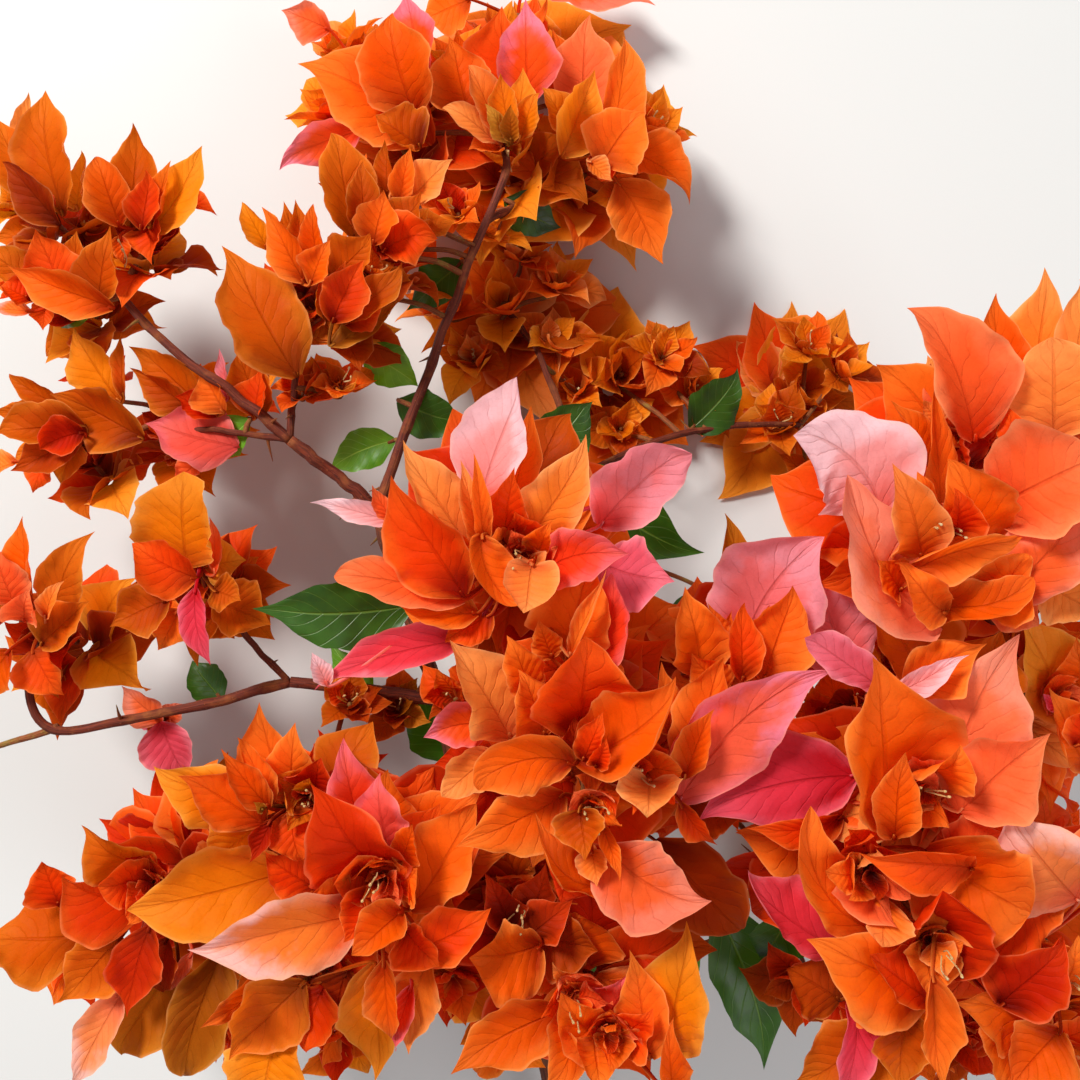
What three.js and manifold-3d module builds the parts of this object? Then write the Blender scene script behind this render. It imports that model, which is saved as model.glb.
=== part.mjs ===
// A cut flowering spray of a double-bract bougainvillea, lying on level ground.
// Millimetres, +Z up. Its flower side faces up, the cut end of its stem points to -Y.
// Woody limbs fork from one main stem. Each large bloom is one closed, uneven solid
// whose points are its longest bracts. The ground is the plane z = 0.
import * as THREE from "three";
import { mergeVertices } from "three/addons/utils/BufferGeometryUtils.js";
import Module from "manifold-3d";

const wasm = await Module();
wasm.setup();

// ---------- driving dimensions (mm) ----------
const GAP = 0.4;             // clear gap between neighbouring pieces
const BARK_SIDES = 7;        // sides of a limb's section
const BARK_STEP = 42;        // length of one step along a limb
const KNEE = 1.0;            // how far a limb wanders at its nodes
const BLOOM_DETAIL = 2;      // subdivision of a bloom's solid
const SMALL_CORE = 16;       // a bloom with a heart under this radius is one step coarser
const BRACT_SPREAD = 0.62;   // half width of a bract's point as seen from the core, radians
const BRACT_TAPER = 1.35;    // how sharply a bract narrows towards its tip
const CALYX_REACH = 1.05;    // length of a bloom's foot, in core radii
const RING_TILT = 0.35;      // lift of the unnamed bracts above the bloom's rim, radians
const CUT_END_LENGTH = 3;    // the cut end of the stem is square over this length
const BIG = 2000;

// Blooms: where the middle is, radius of the packed heart, the way the heart faces,
// the long bracts as [bearing in plan, rise above level, reach from the middle] in degrees and mm,
// a ring of [count, reach] shorter bracts round the rest of the rim, and the foot that carries
// the bloom on the nearest limb, in the same terms as a bract (null where a limb enters the bloom).
const BLOOMS = [
  { name: "bloom_center_top", at: [-9.8, -4.2, 151.7], core: 20.4, faces: [-0.05, -0.10, 0.99],
    bracts: [[134, 0, 42.9], [-175, -4, 50.2], [54, 0, 40.8], [32, -6, 60.4], [85, -8, 50.7], [-9, -4, 47.8], [-35, -8, 45.9], [-145, -9, 69.5], [165, -7, 58.3], [-94, 40, 19.7]], ring: [0, 0], foot: [-59, -13, 46.2] },
  { name: "bloom_center", at: [16.7, -41.8, 153.9], core: 18.0, faces: [0.10, 0.15, 0.98],
    bracts: [[164, -8, 45], [90, -6, 27.9], [9, 23, 22.9], [147, 11, 27]], ring: [3, 30], foot: null },
  { name: "bloom_center_right", at: [32.5, -64.3, 150.2], core: 19.2, faces: [0.33, 0.05, 0.94],
    bracts: [[30, -2, 57.9], [61, 2, 37.5], [-56, -13, 26.5], [-1, 4, 23.8]], ring: [3, 30], foot: [134, -22, 25.6] },
  { name: "bloom_center_low", at: [13.4, -79, 152.4], core: 18.0, faces: [0.05, -0.20, 0.98],
    bracts: [[-170, -7, 37.6], [-35, -6, 43.4], [-64, -6, 40.5], [-124, -3, 28.8]], ring: [3, 27], foot: [95, -37, 32.8] },
  { name: "bloom_upright_right", at: [58.2, -28.2, 137.6], core: 15.6, faces: [0.16, 0.52, 0.84],
    bracts: [[142, 8, 21.7], [88, 22, 11.7], [40, 8, 21.3], [47, -14, 41.5], [130, -26, 23.3], [-3, -15, 40.3]], ring: [2, 27], foot: [-159, 4, 44.1] },
  { name: "bloom_right_upper", at: [112.6, -3.3, 158.4], core: 20.4, faces: [-0.10, -0.15, 0.98],
    bracts: [[144, -11, 34.8], [-142, -11, 23.1], [-57, -11, 23.8], [13, -9, 39.6], [97, 18, 23.4]], ring: [3, 32], foot: null },
  { name: "bloom_right_top", at: [126.5, 35.5, 148], core: 19.2, faces: [-0.05, 0.29, 0.96],
    bracts: [[123, 0, 37], [-176, -7, 51.9], [84, -6, 35.4], [63, -9, 48.8], [46, -11, 55.8], [-2, -5, 32.9], [173, 0, 27.2]], ring: [2, 30], foot: [-101, -10, 41.1] },
  { name: "bloom_right_outer", at: [178.9, 18, 130.2], core: 19.2, faces: [0.50, 0.10, 0.86],
    bracts: [], ring: [9, 42], foot: [-139, -5, 59.3] },
  { name: "bloom_low_right_a", at: [90.5, -91.6, 156.9], core: 20.4, faces: [-0.10, -0.05, 0.99],
    bracts: [[84, -9, 58.2], [165, -19, 50], [-171, -25, 35.6], [-129, -19, 39.5], [-107, 26, 17]], ring: [3, 32], foot: [-43, -25, 29.4] },
  { name: "bloom_low_right_b", at: [108.2, -67.4, 161.3], core: 16.8, faces: [0.00, 0.20, 0.98],
    bracts: [[54, -15, 50.1], [5, -14, 35.9], [130, -7, 23.5]], ring: [3, 30], foot: [-85, -23, 44.8] },
  { name: "bloom_low_right_c", at: [112.6, -112.6, 158.4], core: 18.0, faces: [-0.05, -0.24, 0.97],
    bracts: [[180, -16, 37.9], [-107, -17, 44.7], [-56, -14, 31.3]], ring: [3, 32], foot: null },
  { name: "bloom_low_right_d", at: [147.1, -116.3, 152.4], core: 18.0, faces: [0.20, -0.10, 0.98],
    bracts: [[114, 4, 46.6], [30, -19, 37], [-153, -8, 33.1]], ring: [4, 37], foot: [172, -15, 33.4] },
  { name: "bloom_right_edge", at: [161.5, -49.5, 133.2], core: 16.8, faces: [0.46, 0.20, 0.87],
    bracts: [[125, 5, 32.3], [46, -16, 27.4], [-113, 4, 22.1]], ring: [4, 35], foot: [142, -47, 27.9] },
  { name: "bloom_low_left_a", at: [-50.2, -101.6, 150.2], core: 20.4, faces: [-0.10, -0.05, 0.99],
    bracts: [[109, 5, 35.2], [-160, -4, 52.1], [44, 2, 26.8], [-15, -10, 38.2], [-79, -13, 49.2], [100, -18, 45.7]], ring: [3, 30], foot: null },
  { name: "bloom_low_left_b", at: [-77.5, -78.1, 133.2], core: 16.8, faces: [-0.25, 0.39, 0.89],
    bracts: [[121, 7, 23.4], [170, -8, 40.7], [-145, -6, 59.5], [93, 7, 25.1], [-169, -9, 39.6], [27, 4, 22]], ring: [2, 27], foot: [-42, -1, 36] },
  { name: "bloom_far_left_low", at: [-126.4, -110.4, 122.1], core: 18.0, faces: [-0.36, -0.05, 0.93],
    bracts: [[118, 5, 26.3], [-163, -7, 45.6], [152, 10, 21.4], [-110, -12, 68.1], [-73, -11, 51.5], [-45, 0, 27]], ring: [2, 32], foot: null },
  { name: "bloom_bottom", at: [17.2, -138.3, 145], core: 19.2, faces: [0.05, -0.10, 0.99],
    bracts: [[-156, -11, 47.4], [43, -7, 36.9], [-34, -10, 33.3], [-108, -18, 38.2]], ring: [4, 35], foot: null },
  { name: "bloom_bottom_inner", at: [-8.4, -115.8, 130.2], core: 16.8, faces: [-0.10, -0.10, 0.99],
    bracts: [[111, 0, 20.3], [-150, -10, 17.8], [-35, -7, 23.4]], ring: [3, 27], foot: [-44, -2, 32] },
  { name: "bloom_bottom_left", at: [-78.1, -146.4, 124.3], core: 16.8, faces: [-0.20, -0.35, 0.91],
    bracts: [[-175, -3, 26], [-124, -12, 28], [-43, -4, 20.7], [134, -5, 16.2]], ring: [3, 30], foot: [39, -25, 41.3] },
  { name: "bloom_left_top_a", at: [-174.3, 127.2, 85.8], core: 14.4, faces: [-0.10, 0.78, 0.62],
    bracts: [[88, 7, 25.6], [68, 10, 24.7], [163, -7, 25], [-19, 8, 21.4]], ring: [3, 25], foot: [-55, -3, 50.4] },
  { name: "bloom_left_top_b", at: [-134.7, 116.9, 85.8], core: 15.6, faces: [0.15, 0.77, 0.62],
    bracts: [[97, 7, 24.9], [41, 7, 25], [147, 4, 20], [-20, 9, 19.5], [-102, -16, 21.6]], ring: [2, 25], foot: [-106, -5, 32.3] },
  { name: "bloom_left_top_c", at: [-164.8, 93, 85.8], core: 15.6, faces: [-0.21, 0.52, 0.83],
    bracts: [[30, 11, 23.8], [176, 10, 17], [-110, -13, 19.2], [-170, -13, 33.6]], ring: [3, 27], foot: [-24, -8, 20.2] },
  { name: "bloom_left_mid_a", at: [-85.4, 97.4, 94.7], core: 14.4, faces: [-0.20, 0.72, 0.67],
    bracts: [[173, -12, 21.9], [134, 4, 20.2], [51, 10, 17.8], [-111, -20, 21.7]], ring: [3, 22], foot: [-77, -22, 26] },
  { name: "bloom_left_mid_b", at: [-65, 87.1, 93.2], core: 13.2, faces: [0.21, 0.64, 0.74],
    bracts: [[53, 26, 10.1], [15, 0, 19.1], [-44, -20, 17.6]], ring: [3, 22], foot: [-134, -23, 20.8] },
  { name: "bloom_left_mid_c", at: [-52.6, 113.5, 85.8], core: 15.6, faces: [0.10, 0.78, 0.62],
    bracts: [[123, 3, 31.1], [89, 8, 22], [39, -6, 27], [-33, -8, 21.9], [-131, -11, 23.2]], ring: [3, 25], foot: [-31, -32, 33.4] },
  { name: "bloom_left_low_a", at: [-167.3, 39.2, 77], core: 15.6, faces: [-0.31, 0.62, 0.72],
    bracts: [[-156, -6, 27.4], [133, 4, 20.4], [80, 3, 29.3]], ring: [4, 27], foot: [6, -10, 37] },
  { name: "bloom_left_low_b", at: [-130.2, 49.7, 77], core: 15.6, faces: [0.00, 0.62, 0.78],
    bracts: [[152, 3, 24.3], [-117, -9, 18.3], [-33, 0, 26.8], [55, 4, 20.3]], ring: [3, 27], foot: null },
  { name: "bloom_left_inner", at: [-115.5, -3.9, 100.6], core: 15.6, faces: [-0.16, 0.52, 0.84],
    bracts: [[92, 7, 23.7], [-139, -9, 37.4], [-79, -9, 37.2], [29, 0, 15]], ring: [3, 27], foot: null },
  { name: "bloom_far_left", at: [-174.9, -25.3, 90.3], core: 18.0, faces: [-0.30, 0.41, 0.86],
    bracts: [[91, 3, 29.4], [46, 3, 33], [-51, -4, 20.6], [-176, -15, 33.9]], ring: [4, 35], foot: null },
  { name: "bloom_top_a", at: [-62.3, 166, 54.8], core: 18.7, faces: [-0.35, 0.55, 0.75],
    bracts: [[-147, -15, 40.6], [153, -11, 32.1], [63, 8, 32.1]], ring: [6, 39], foot: [-21, -1, 49] },
  { name: "bloom_top_b", at: [-15.3, 155.7, 62.2], core: 18.7, faces: [-0.05, 0.51, 0.86],
    bracts: [[116, 15, 22.9], [-63, 0, 25.7], [-175, -8, 21.6]], ring: [6, 37], foot: null },
  { name: "bloom_top_c", at: [28.8, 150.6, 56.2], core: 18.7, faces: [0.46, 0.36, 0.81],
    bracts: [[84, 13, 25.5], [-39, -12, 36.1], [-67, -22, 50.6]], ring: [6, 37], foot: [-167, -25, 35.2] },
  { name: "bloom_top_d", at: [-8.1, 223.9, 18.5], core: 22.0, faces: [0.05, 0.82, 0.57],
    bracts: [[-9, 4, 48.9], [175, 3, 40.4]], ring: [8, 43], foot: null },
  { name: "bloom_back_a", at: [-15.4, 95.6, 38.5], core: 19.8, faces: [-0.10, 0.30, 0.95],
    bracts: [[-176, -8, 33.7], [43, 3, 31.6]], ring: [8, 41], foot: null },
  { name: "bloom_back_b", at: [34.7, 68.5, 29.6], core: 19.8, faces: [0.20, 0.20, 0.96],
    bracts: [[169, -3, 33.4], [4, -6, 43.3]], ring: [8, 41], foot: [-68, 10, 30.2] },
  { name: "bloom_back_c", at: [109.9, 62.6, 18.5], core: 22.0, faces: [0.31, 0.10, 0.94],
    bracts: [[-92, -4, 48.5], [-116, -3, 38], [-67, -5, 41.7], [90, 1, 34.2]], ring: [6, 39], foot: [-107, 2, 14.9] },
  { name: "bloom_under_left", at: [-151.8, -139.7, 17.8], core: 22.0, faces: [-0.69, -0.23, 0.69],
    bracts: [], ring: [9, 43], foot: [7, 53, 53.6] },
  { name: "bloom_under_right", at: [145.7, -135.6, 17.8], core: 23.1, faces: [0.69, -0.23, 0.69],
    bracts: [], ring: [9, 45], foot: null },
];

// Limbs: nodes along the path, radius at the base and at the tip, the bloom it enters, the limb it leaves.
const LIMBS = [
  { name: "main_stem_lower", path: [[10.9, -290.8, 3.1], [6.5, -230.8, 17.8], [-7.7, -162, 38.5]], base: 3.6, tip: 3.3, into: null, from: null },
  { name: "main_stem_middle", path: [[-7.7, -162, 38.5], [-25.7, -103, 57.7], [-35.4, -56.7, 72.5]], base: 3.3, tip: 3.0, into: null, from: "main_stem_lower" },
  { name: "main_stem_upper", path: [[-35.4, -56.7, 72.5], [-47.4, -21.1, 75.5], [-56.7, 9.8, 77]], base: 2.9, tip: 2.5, into: null, from: "main_stem_middle" },
  { name: "bough_left", path: [[-56.7, 9.8, 77], [-71.2, 22.9, 79.9], [-86.1, 34.5, 82.9]], base: 2.3, tip: 2.0, into: null, from: "main_stem_upper" },
  { name: "bough_left_tip", path: [[-86.1, 34.5, 82.9], [-106.4, 51.5, 84.4], [-127, 66.2, 84.4], [-144.4, 83.7, 82.9]], base: 1.9, tip: 1.4, into: null, from: "bough_left" },
  { name: "branch_left_fork", path: [[-86.1, 34.5, 82.9], [-85.4, 46.5, 82.9], [-83.4, 57.9, 82.9], [-79.6, 72.1, 84.4]], base: 1.3, tip: 1.0, into: null, from: "bough_left" },
  { name: "branch_left_low", path: [[-86.1, 34.5, 82.9], [-104.2, 37.5, 79.9], [-123.2, 39.2, 77]], base: 1.2, tip: 0.9, into: "bloom_left_low_b", from: "bough_left" },
  { name: "bough_top", path: [[-56.7, 9.8, 77], [-46.7, 40.7, 72.5], [-35.7, 71.4, 69.6], [-26.6, 97.8, 66.6], [-12.7, 133.9, 62.2]], base: 1.9, tip: 1.35, into: "bloom_top_b", from: "main_stem_upper" },
  { name: "bough_lower_left", path: [[-35.4, -56.7, 72.5], [-63, -52.5, 77], [-86.5, -49.1, 81.4]], base: 2.3, tip: 1.9, into: null, from: "main_stem_middle" },
  { name: "bough_lower_left_tip", path: [[-86.5, -49.1, 81.4], [-113.7, -55.8, 82.9], [-139.9, -61.3, 82.9], [-168.8, -64.8, 82.9], [-175.7, -51.5, 84.4]], base: 1.9, tip: 1.3, into: "bloom_far_left", from: "bough_lower_left" },
  { name: "branch_inner_left", path: [[-86.8, -49.1, 81.4], [-98.7, -34, 87.3], [-107.5, -16.7, 93.2]], base: 1.2, tip: 0.9, into: "bloom_left_inner", from: "bough_lower_left" },
  { name: "bough_right", path: [[-20.9, -119.5, 51.8], [28.4, -115.2, 71], [67.5, -114.8, 90.3], [106.4, -120.5, 116.9]], base: 2.9, tip: 2.1, into: "bloom_low_right_c", from: "main_stem_middle" },
  { name: "branch_right_upper", path: [[67.5, -114.8, 90.3], [115.8, -76.1, 97.7], [144.9, -36.6, 111]], base: 2.0, tip: 1.5, into: "bloom_right_upper", from: "bough_right" },
  { name: "bough_bottom_left", path: [[-7.7, -162, 38.5], [-32.4, -143.9, 66.6], [-47.2, -122, 103.6]], base: 2.4, tip: 1.8, into: "bloom_low_left_a", from: "main_stem_lower" },
  { name: "branch_far_left", path: [[-32.4, -143.9, 66.6], [-83.3, -149.6, 45.9], [-118.2, -135.3, 62.2]], base: 1.7, tip: 1.2, into: "bloom_far_left_low", from: "bough_bottom_left" },
  { name: "branch_bottom", path: [[-3.9, -173.5, 34], [7.1, -162.3, 74], [16.1, -152.9, 107.3]], base: 2.0, tip: 1.5, into: "bloom_bottom", from: "main_stem_lower" },
  { name: "branch_center", path: [[-31.8, -79.4, 65.1], [-13.3, -68.1, 96.2], [9.1, -53.1, 127.3]], base: 2.2, tip: 1.6, into: "bloom_center", from: "main_stem_middle" },
  { name: "bough_back", path: [[-40.5, -40.5, 74.7], [-7.3, -7.3, 62.2], [11.3, 22.6, 48.8]], base: 2.0, tip: 1.6, into: null, from: "main_stem_upper" },
  { name: "branch_back_left", path: [[11.3, 22.6, 48.8], [7.7, 49.8, 41.4], [-3.9, 78.2, 32.6]], base: 1.5, tip: 1.1, into: "bloom_back_a", from: "bough_back" },
  { name: "branch_back_right", path: [[11.3, 22.6, 48.8], [46.6, 38.8, 35.5], [81.6, 45.8, 25.2], [104.9, 46.4, 19.2]], base: 1.5, tip: 1.1, into: null, from: "bough_back" },
  { name: "branch_top_far", path: [[-18.8, 116, 63.6], [-3.8, 133.1, 44.4], [-5.9, 178.5, 26.6]], base: 1.4, tip: 1.1, into: "bloom_top_d", from: "bough_top" },
  { name: "branch_under_right", path: [[-3.9, -172.8, 35.5], [39.7, -166.6, 26.6], [96.8, -153.3, 19.2]], base: 1.8, tip: 1.3, into: "bloom_under_right", from: "main_stem_lower" },
];

const BARK = { color: 0x6b3a26, roughness: 0.82 };
const BRACT = [0xe8580f, 0xee6a1c, 0xe24a12, 0xf07f5a, 0xea7a26];

// ---------- small helpers ----------
function seeded(seed) {
  let s = seed >>> 0;
  return () => {
    s = (s + 0x6d2b79f5) >>> 0;
    let t = s;
    t = Math.imul(t ^ (t >>> 15), t | 1);
    t ^= t + Math.imul(t ^ (t >>> 7), t | 61);
    return ((t ^ (t >>> 14)) >>> 0) / 4294967296;
  };
}

function solidOf(geometry) {
  const g = geometry.clone();
  for (const key of Object.keys(g.attributes)) if (key !== "position") g.deleteAttribute(key);
  const m = mergeVertices(g, 1e-4);
  return new wasm.Manifold(new wasm.Mesh({
    numProp: 3,
    vertProperties: new Float32Array(m.attributes.position.array),
    triVerts: new Uint32Array(m.index.array),
  }));
}

function geometryOf(solid) {
  const mesh = solid.getMesh();
  const g = new THREE.BufferGeometry();
  const points = new Float32Array(mesh.numVert * 3);
  for (let i = 0; i < mesh.numVert; i++)
    for (let k = 0; k < 3; k++) points[3 * i + k] = mesh.vertProperties[i * mesh.numProp + k];
  g.setAttribute("position", new THREE.BufferAttribute(points, 3));
  g.setIndex(new THREE.BufferAttribute(new Uint32Array(mesh.triVerts), 1));
  return g;
}

const largest = (solid) =>
  solid.decompose().reduce((best, s) => (best && best.volume() >= s.volume() ? best : s), null);

const vec = (a) => new THREE.Vector3(a[0], a[1], a[2]);

// a box whose +Z face lies on the plane through `point` with normal `normal`
function blockUnder(point, normal) {
  const box = new THREE.BoxGeometry(BIG, BIG, BIG);
  box.translate(0, 0, -BIG / 2);
  box.applyQuaternion(new THREE.Quaternion().setFromUnitVectors(new THREE.Vector3(0, 0, 1), normal));
  box.translate(point.x, point.y, point.z);
  return solidOf(box);
}

const boxOf = (solid) => {
  const b = solid.boundingBox();
  return new THREE.Box3(vec(b.min), vec(b.max));
};

// ---------- blooms ----------
function bloomSolid(bloom, index) {
  const random = seeded(9001 + 77 * index);
  const axis = vec(bloom.faces).normalize();
  const points = bloom.bracts.map(([bearing, rise, reach]) => {
    const b = THREE.MathUtils.degToRad(bearing), r = THREE.MathUtils.degToRad(rise);
    return { dir: new THREE.Vector3(Math.cos(b) * Math.cos(r), Math.sin(b) * Math.cos(r), Math.sin(r)), reach };
  });
  // the unnamed bracts stand round the rim, in the widest gaps that the long ones leave
  const side = new THREE.Vector3(1, 0, 0).cross(axis).normalize();
  const turn0 = random() * Math.PI * 2;
  for (let k = 0; k < bloom.ring[0]; k++) {
    let best = null, bestGap = -1;
    for (let n = 0; n < 24; n++) {
      const turn = turn0 + (n / 24) * Math.PI * 2;
      const dir = side.clone().applyAxisAngle(axis, turn)
        .multiplyScalar(Math.cos(RING_TILT)).addScaledVector(axis, Math.sin(RING_TILT) * (0.4 + 1.2 * random()));
      dir.normalize();
      const gap = points.length ? Math.min(...points.map((p) => p.dir.angleTo(dir))) : 1;
      if (gap > bestGap) { bestGap = gap; best = dir; }
    }
    points.push({ dir: best, reach: bloom.ring[1] * (0.82 + 0.36 * random()) });
  }
  points.push({ dir: axis.clone().negate(), reach: bloom.core * CALYX_REACH, blunt: true });
  if (bloom.foot) {
    const b = THREE.MathUtils.degToRad(bloom.foot[0]), r = THREE.MathUtils.degToRad(bloom.foot[1]);
    points.push({ dir: new THREE.Vector3(Math.cos(b) * Math.cos(r), Math.sin(b) * Math.cos(r), Math.sin(r)),
      reach: bloom.foot[2], stalk: true });
  }

  const g = new THREE.IcosahedronGeometry(1, bloom.core < SMALL_CORE ? BLOOM_DETAIL - 1 : BLOOM_DETAIL);
  g.deleteAttribute("normal"); g.deleteAttribute("uv");
  const ball = mergeVertices(g, 1e-4);
  ball.applyQuaternion(new THREE.Quaternion().setFromUnitVectors(new THREE.Vector3(0, 0, 1), axis));
  const p = ball.attributes.position;
  const dirs = [], reach = [];
  for (let i = 0; i < p.count; i++) {
    const d = new THREE.Vector3().fromBufferAttribute(p, i).normalize();
    const below = Math.max(0, -d.dot(axis));
    let r = bloom.core * (0.93 + 0.14 * random()) * (1 - 0.22 * below);
    for (const q of points) {
      const a = d.angleTo(q.dir) / BRACT_SPREAD;
      if (a < 1 && !q.blunt && !q.stalk) r = Math.max(r, bloom.core + (q.reach - bloom.core) * Math.pow(1 - a, BRACT_TAPER));
    }
    dirs.push(d); reach.push(r);
  }
  // each bract's tip is one corner of the solid, exactly where the bract ends
  const used = new Set();
  for (const q of points) {
    let best = -1, bestAngle = bloom.core < SMALL_CORE ? 0.42 : 0.3;
    for (let i = 0; i < dirs.length; i++) {
      const a = dirs[i].angleTo(q.dir);
      if (!used.has(i) && a < bestAngle) { best = i; bestAngle = a; }
    }
    if (best < 0) continue;
    used.add(best);
    if (!q.blunt) dirs[best] = q.dir.clone();
    reach[best] = Math.max(q.reach, q.blunt ? q.reach : bloom.core);
  }
  for (let i = 0; i < p.count; i++) {
    const d = dirs[i].clone().multiplyScalar(reach[i]);
    p.setXYZ(i, d.x + bloom.at[0], d.y + bloom.at[1], d.z + bloom.at[2]);
  }
  return solidOf(ball);
}

// Neighbouring blooms share out their overlap along the plane of equal power, with a gap.
function shareOut(solids) {
  const cuts = BLOOMS.map(() => []);
  for (let i = 0; i < BLOOMS.length; i++) for (let j = i + 1; j < BLOOMS.length; j++) {
    if (!boxOf(solids[i]).intersectsBox(boxOf(solids[j]))) continue;
    if (solids[i].intersect(solids[j]).volume() < 1e-3) continue;
    const a = vec(BLOOMS[i].at), b = vec(BLOOMS[j].at);
    const d = a.distanceTo(b), n = b.clone().sub(a).normalize();
    const ra = BLOOMS[i].core, rb = BLOOMS[j].core;
    const t = THREE.MathUtils.clamp((d * d + ra * ra - rb * rb) / (2 * d), 0.3 * d, 0.7 * d);
    cuts[i].push(blockUnder(a.clone().addScaledVector(n, t - GAP / 2), n.clone().negate()));
    cuts[j].push(blockUnder(a.clone().addScaledVector(n, t + GAP / 2), n));
  }
  return solids.map((s, i) => largest(cuts[i].reduce((w, c) => w.subtract(c), s)));
}

// ---------- limbs ----------
function limbSolid(limb, grow, index) {
  const random = seeded(400 + 31 * index);
  const nodes = limb.path.map(vec);
  if (limb.into) {
    const bloom = BLOOMS.find((b) => b.name === limb.into);
    const axis = vec(bloom.faces).normalize();
    nodes.push(vec(bloom.at).addScaledVector(axis, -bloom.core * 0.62));
  }
  for (let i = 1; i < nodes.length - 1; i++)
    nodes[i].add(new THREE.Vector3(random() - 0.5, random() - 0.5, random() - 0.5).multiplyScalar(2 * KNEE));
  const curve = new THREE.CatmullRomCurve3(nodes, false, "centripetal");
  const length = curve.getLength();
  const steps = Math.max(2, Math.round(length / BARK_STEP));
  const g = new THREE.CylinderGeometry(1, 1, 1, BARK_SIDES, steps);
  const p = g.attributes.position;
  const up = new THREE.Vector3(0, 0, 1);
  for (let i = 0; i < p.count; i++) {
    const t = p.getY(i) + 0.5;
    const centre = curve.getPointAt(t), along = curve.getTangentAt(t);
    // the cut end of the stem is square on, and lies level
    const side = new THREE.Vector3().crossVectors(along, up).normalize();
    const over = new THREE.Vector3().crossVectors(side, along).normalize();
    const r = THREE.MathUtils.lerp(limb.base, limb.tip, t) + grow;
    const end = t < 1e-6 ? -grow : t > 1 - 1e-6 ? grow : 0;
    const v = centre.addScaledVector(side, p.getX(i) * r).addScaledVector(over, p.getZ(i) * r)
      .addScaledVector(along, end);
    p.setXYZ(i, v.x, v.y, v.z);
  }
  return solidOf(g);
}

// ---------- assembly ----------
let blooms = shareOut(BLOOMS.map(bloomSolid));
const limbs = [];
LIMBS.forEach((limb, i) => {
  let solid = limbSolid(limb, 0, i);
  LIMBS.forEach((other, k) => {
    if (k >= i) return;
    const grown = limbSolid(other, GAP, k);
    if (boxOf(grown).intersectsBox(boxOf(solid))) solid = largest(solid.subtract(grown));
  });
  limbs.push(solid);
});
blooms = blooms.map((solid) => {
  LIMBS.forEach((limb, k) => {
    const grown = limbSolid(limb, GAP, k);
    if (boxOf(grown).intersectsBox(boxOf(solid)) && grown.intersect(solid).volume() > 1e-3)
      solid = largest(solid.subtract(grown));
  });
  return solid;
});

const ground = blockUnder(new THREE.Vector3(0, 0, 0), new THREE.Vector3(0, 0, 1));
const pieces = [
  ...LIMBS.map((l, i) => ({ name: l.name, solid: limbs[i], look: BARK })),
  ...BLOOMS.map((b, i) => ({ name: b.name, solid: blooms[i], look: { color: BRACT[i % BRACT.length], roughness: 0.6 } })),
].map((piece) => {
  const low = boxOf(piece.solid).min.z;
  return low < 0 ? { ...piece, solid: largest(piece.solid.subtract(ground)) } : piece;
});

// the origin is under the middle of the spray's box
const whole = pieces.reduce((box, piece) => box.union(boxOf(piece.solid)), new THREE.Box3());
const middle = whole.getCenter(new THREE.Vector3());

const spray = new THREE.Group();
spray.name = "flowering_spray";
for (const piece of pieces) {
  const geometry = geometryOf(piece.solid);
  geometry.translate(-middle.x, -middle.y, -whole.min.z);
  const mesh = new THREE.Mesh(geometry, new THREE.MeshStandardMaterial({ ...piece.look, metalness: 0 }));
  mesh.name = piece.name;
  spray.add(mesh);
}

export default spray;
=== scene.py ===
import math
import bpy
import numpy as np
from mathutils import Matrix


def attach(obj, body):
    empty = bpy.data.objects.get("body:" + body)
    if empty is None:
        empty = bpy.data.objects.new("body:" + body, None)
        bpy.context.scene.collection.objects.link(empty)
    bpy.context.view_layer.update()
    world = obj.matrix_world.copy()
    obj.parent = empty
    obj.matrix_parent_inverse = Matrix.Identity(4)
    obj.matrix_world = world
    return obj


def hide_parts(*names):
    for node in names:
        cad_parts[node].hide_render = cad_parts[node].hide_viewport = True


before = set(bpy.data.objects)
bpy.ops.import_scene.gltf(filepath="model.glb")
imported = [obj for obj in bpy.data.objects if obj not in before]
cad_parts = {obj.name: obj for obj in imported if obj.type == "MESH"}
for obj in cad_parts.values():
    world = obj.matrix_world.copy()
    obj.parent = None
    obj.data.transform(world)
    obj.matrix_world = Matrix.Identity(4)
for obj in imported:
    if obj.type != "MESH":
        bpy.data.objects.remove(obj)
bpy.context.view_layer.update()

# ------------------------------------------------------------------ frame of the view
# The spray lies on level ground and is seen from straight above. Places are given as
# (across, down, height): across and down in a view 1080 units wide, height in units of HEIGHT_UNIT.
EYE = (-0.00702, 0.01736, 0.455)
HEIGHT_UNIT = 0.74e-3


def at(u, v, h):
    z = h * HEIGHT_UNIT
    d = EYE[2] - z
    return np.array([(u - 540) / 1080 * d + EYE[0], (540 - v) / 1080 * d + EYE[1], z])


def per_unit(h):
    return (EYE[2] - h * HEIGHT_UNIT) / 1080


def unit(v):
    v = np.asarray(v, float)
    return v / max(1e-9, np.linalg.norm(v))


def lin(hex_):
    c = [int(hex_[i:i + 2], 16) / 255 for i in (0, 2, 4)]
    return tuple(x / 12.92 if x <= 0.04045 else ((x + 0.055) / 1.055) ** 2.4 for x in c) + (1.0,)


camera = bpy.data.objects.new("camera", bpy.data.cameras.new("camera"))
camera.data.lens, camera.data.sensor_width = 36.0, 36.0
camera.data.clip_start = 0.01
camera.location = EYE
camera.rotation_euler = (0, 0, 0)
bpy.context.collection.objects.link(camera)
bpy.context.scene.camera = camera

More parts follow.
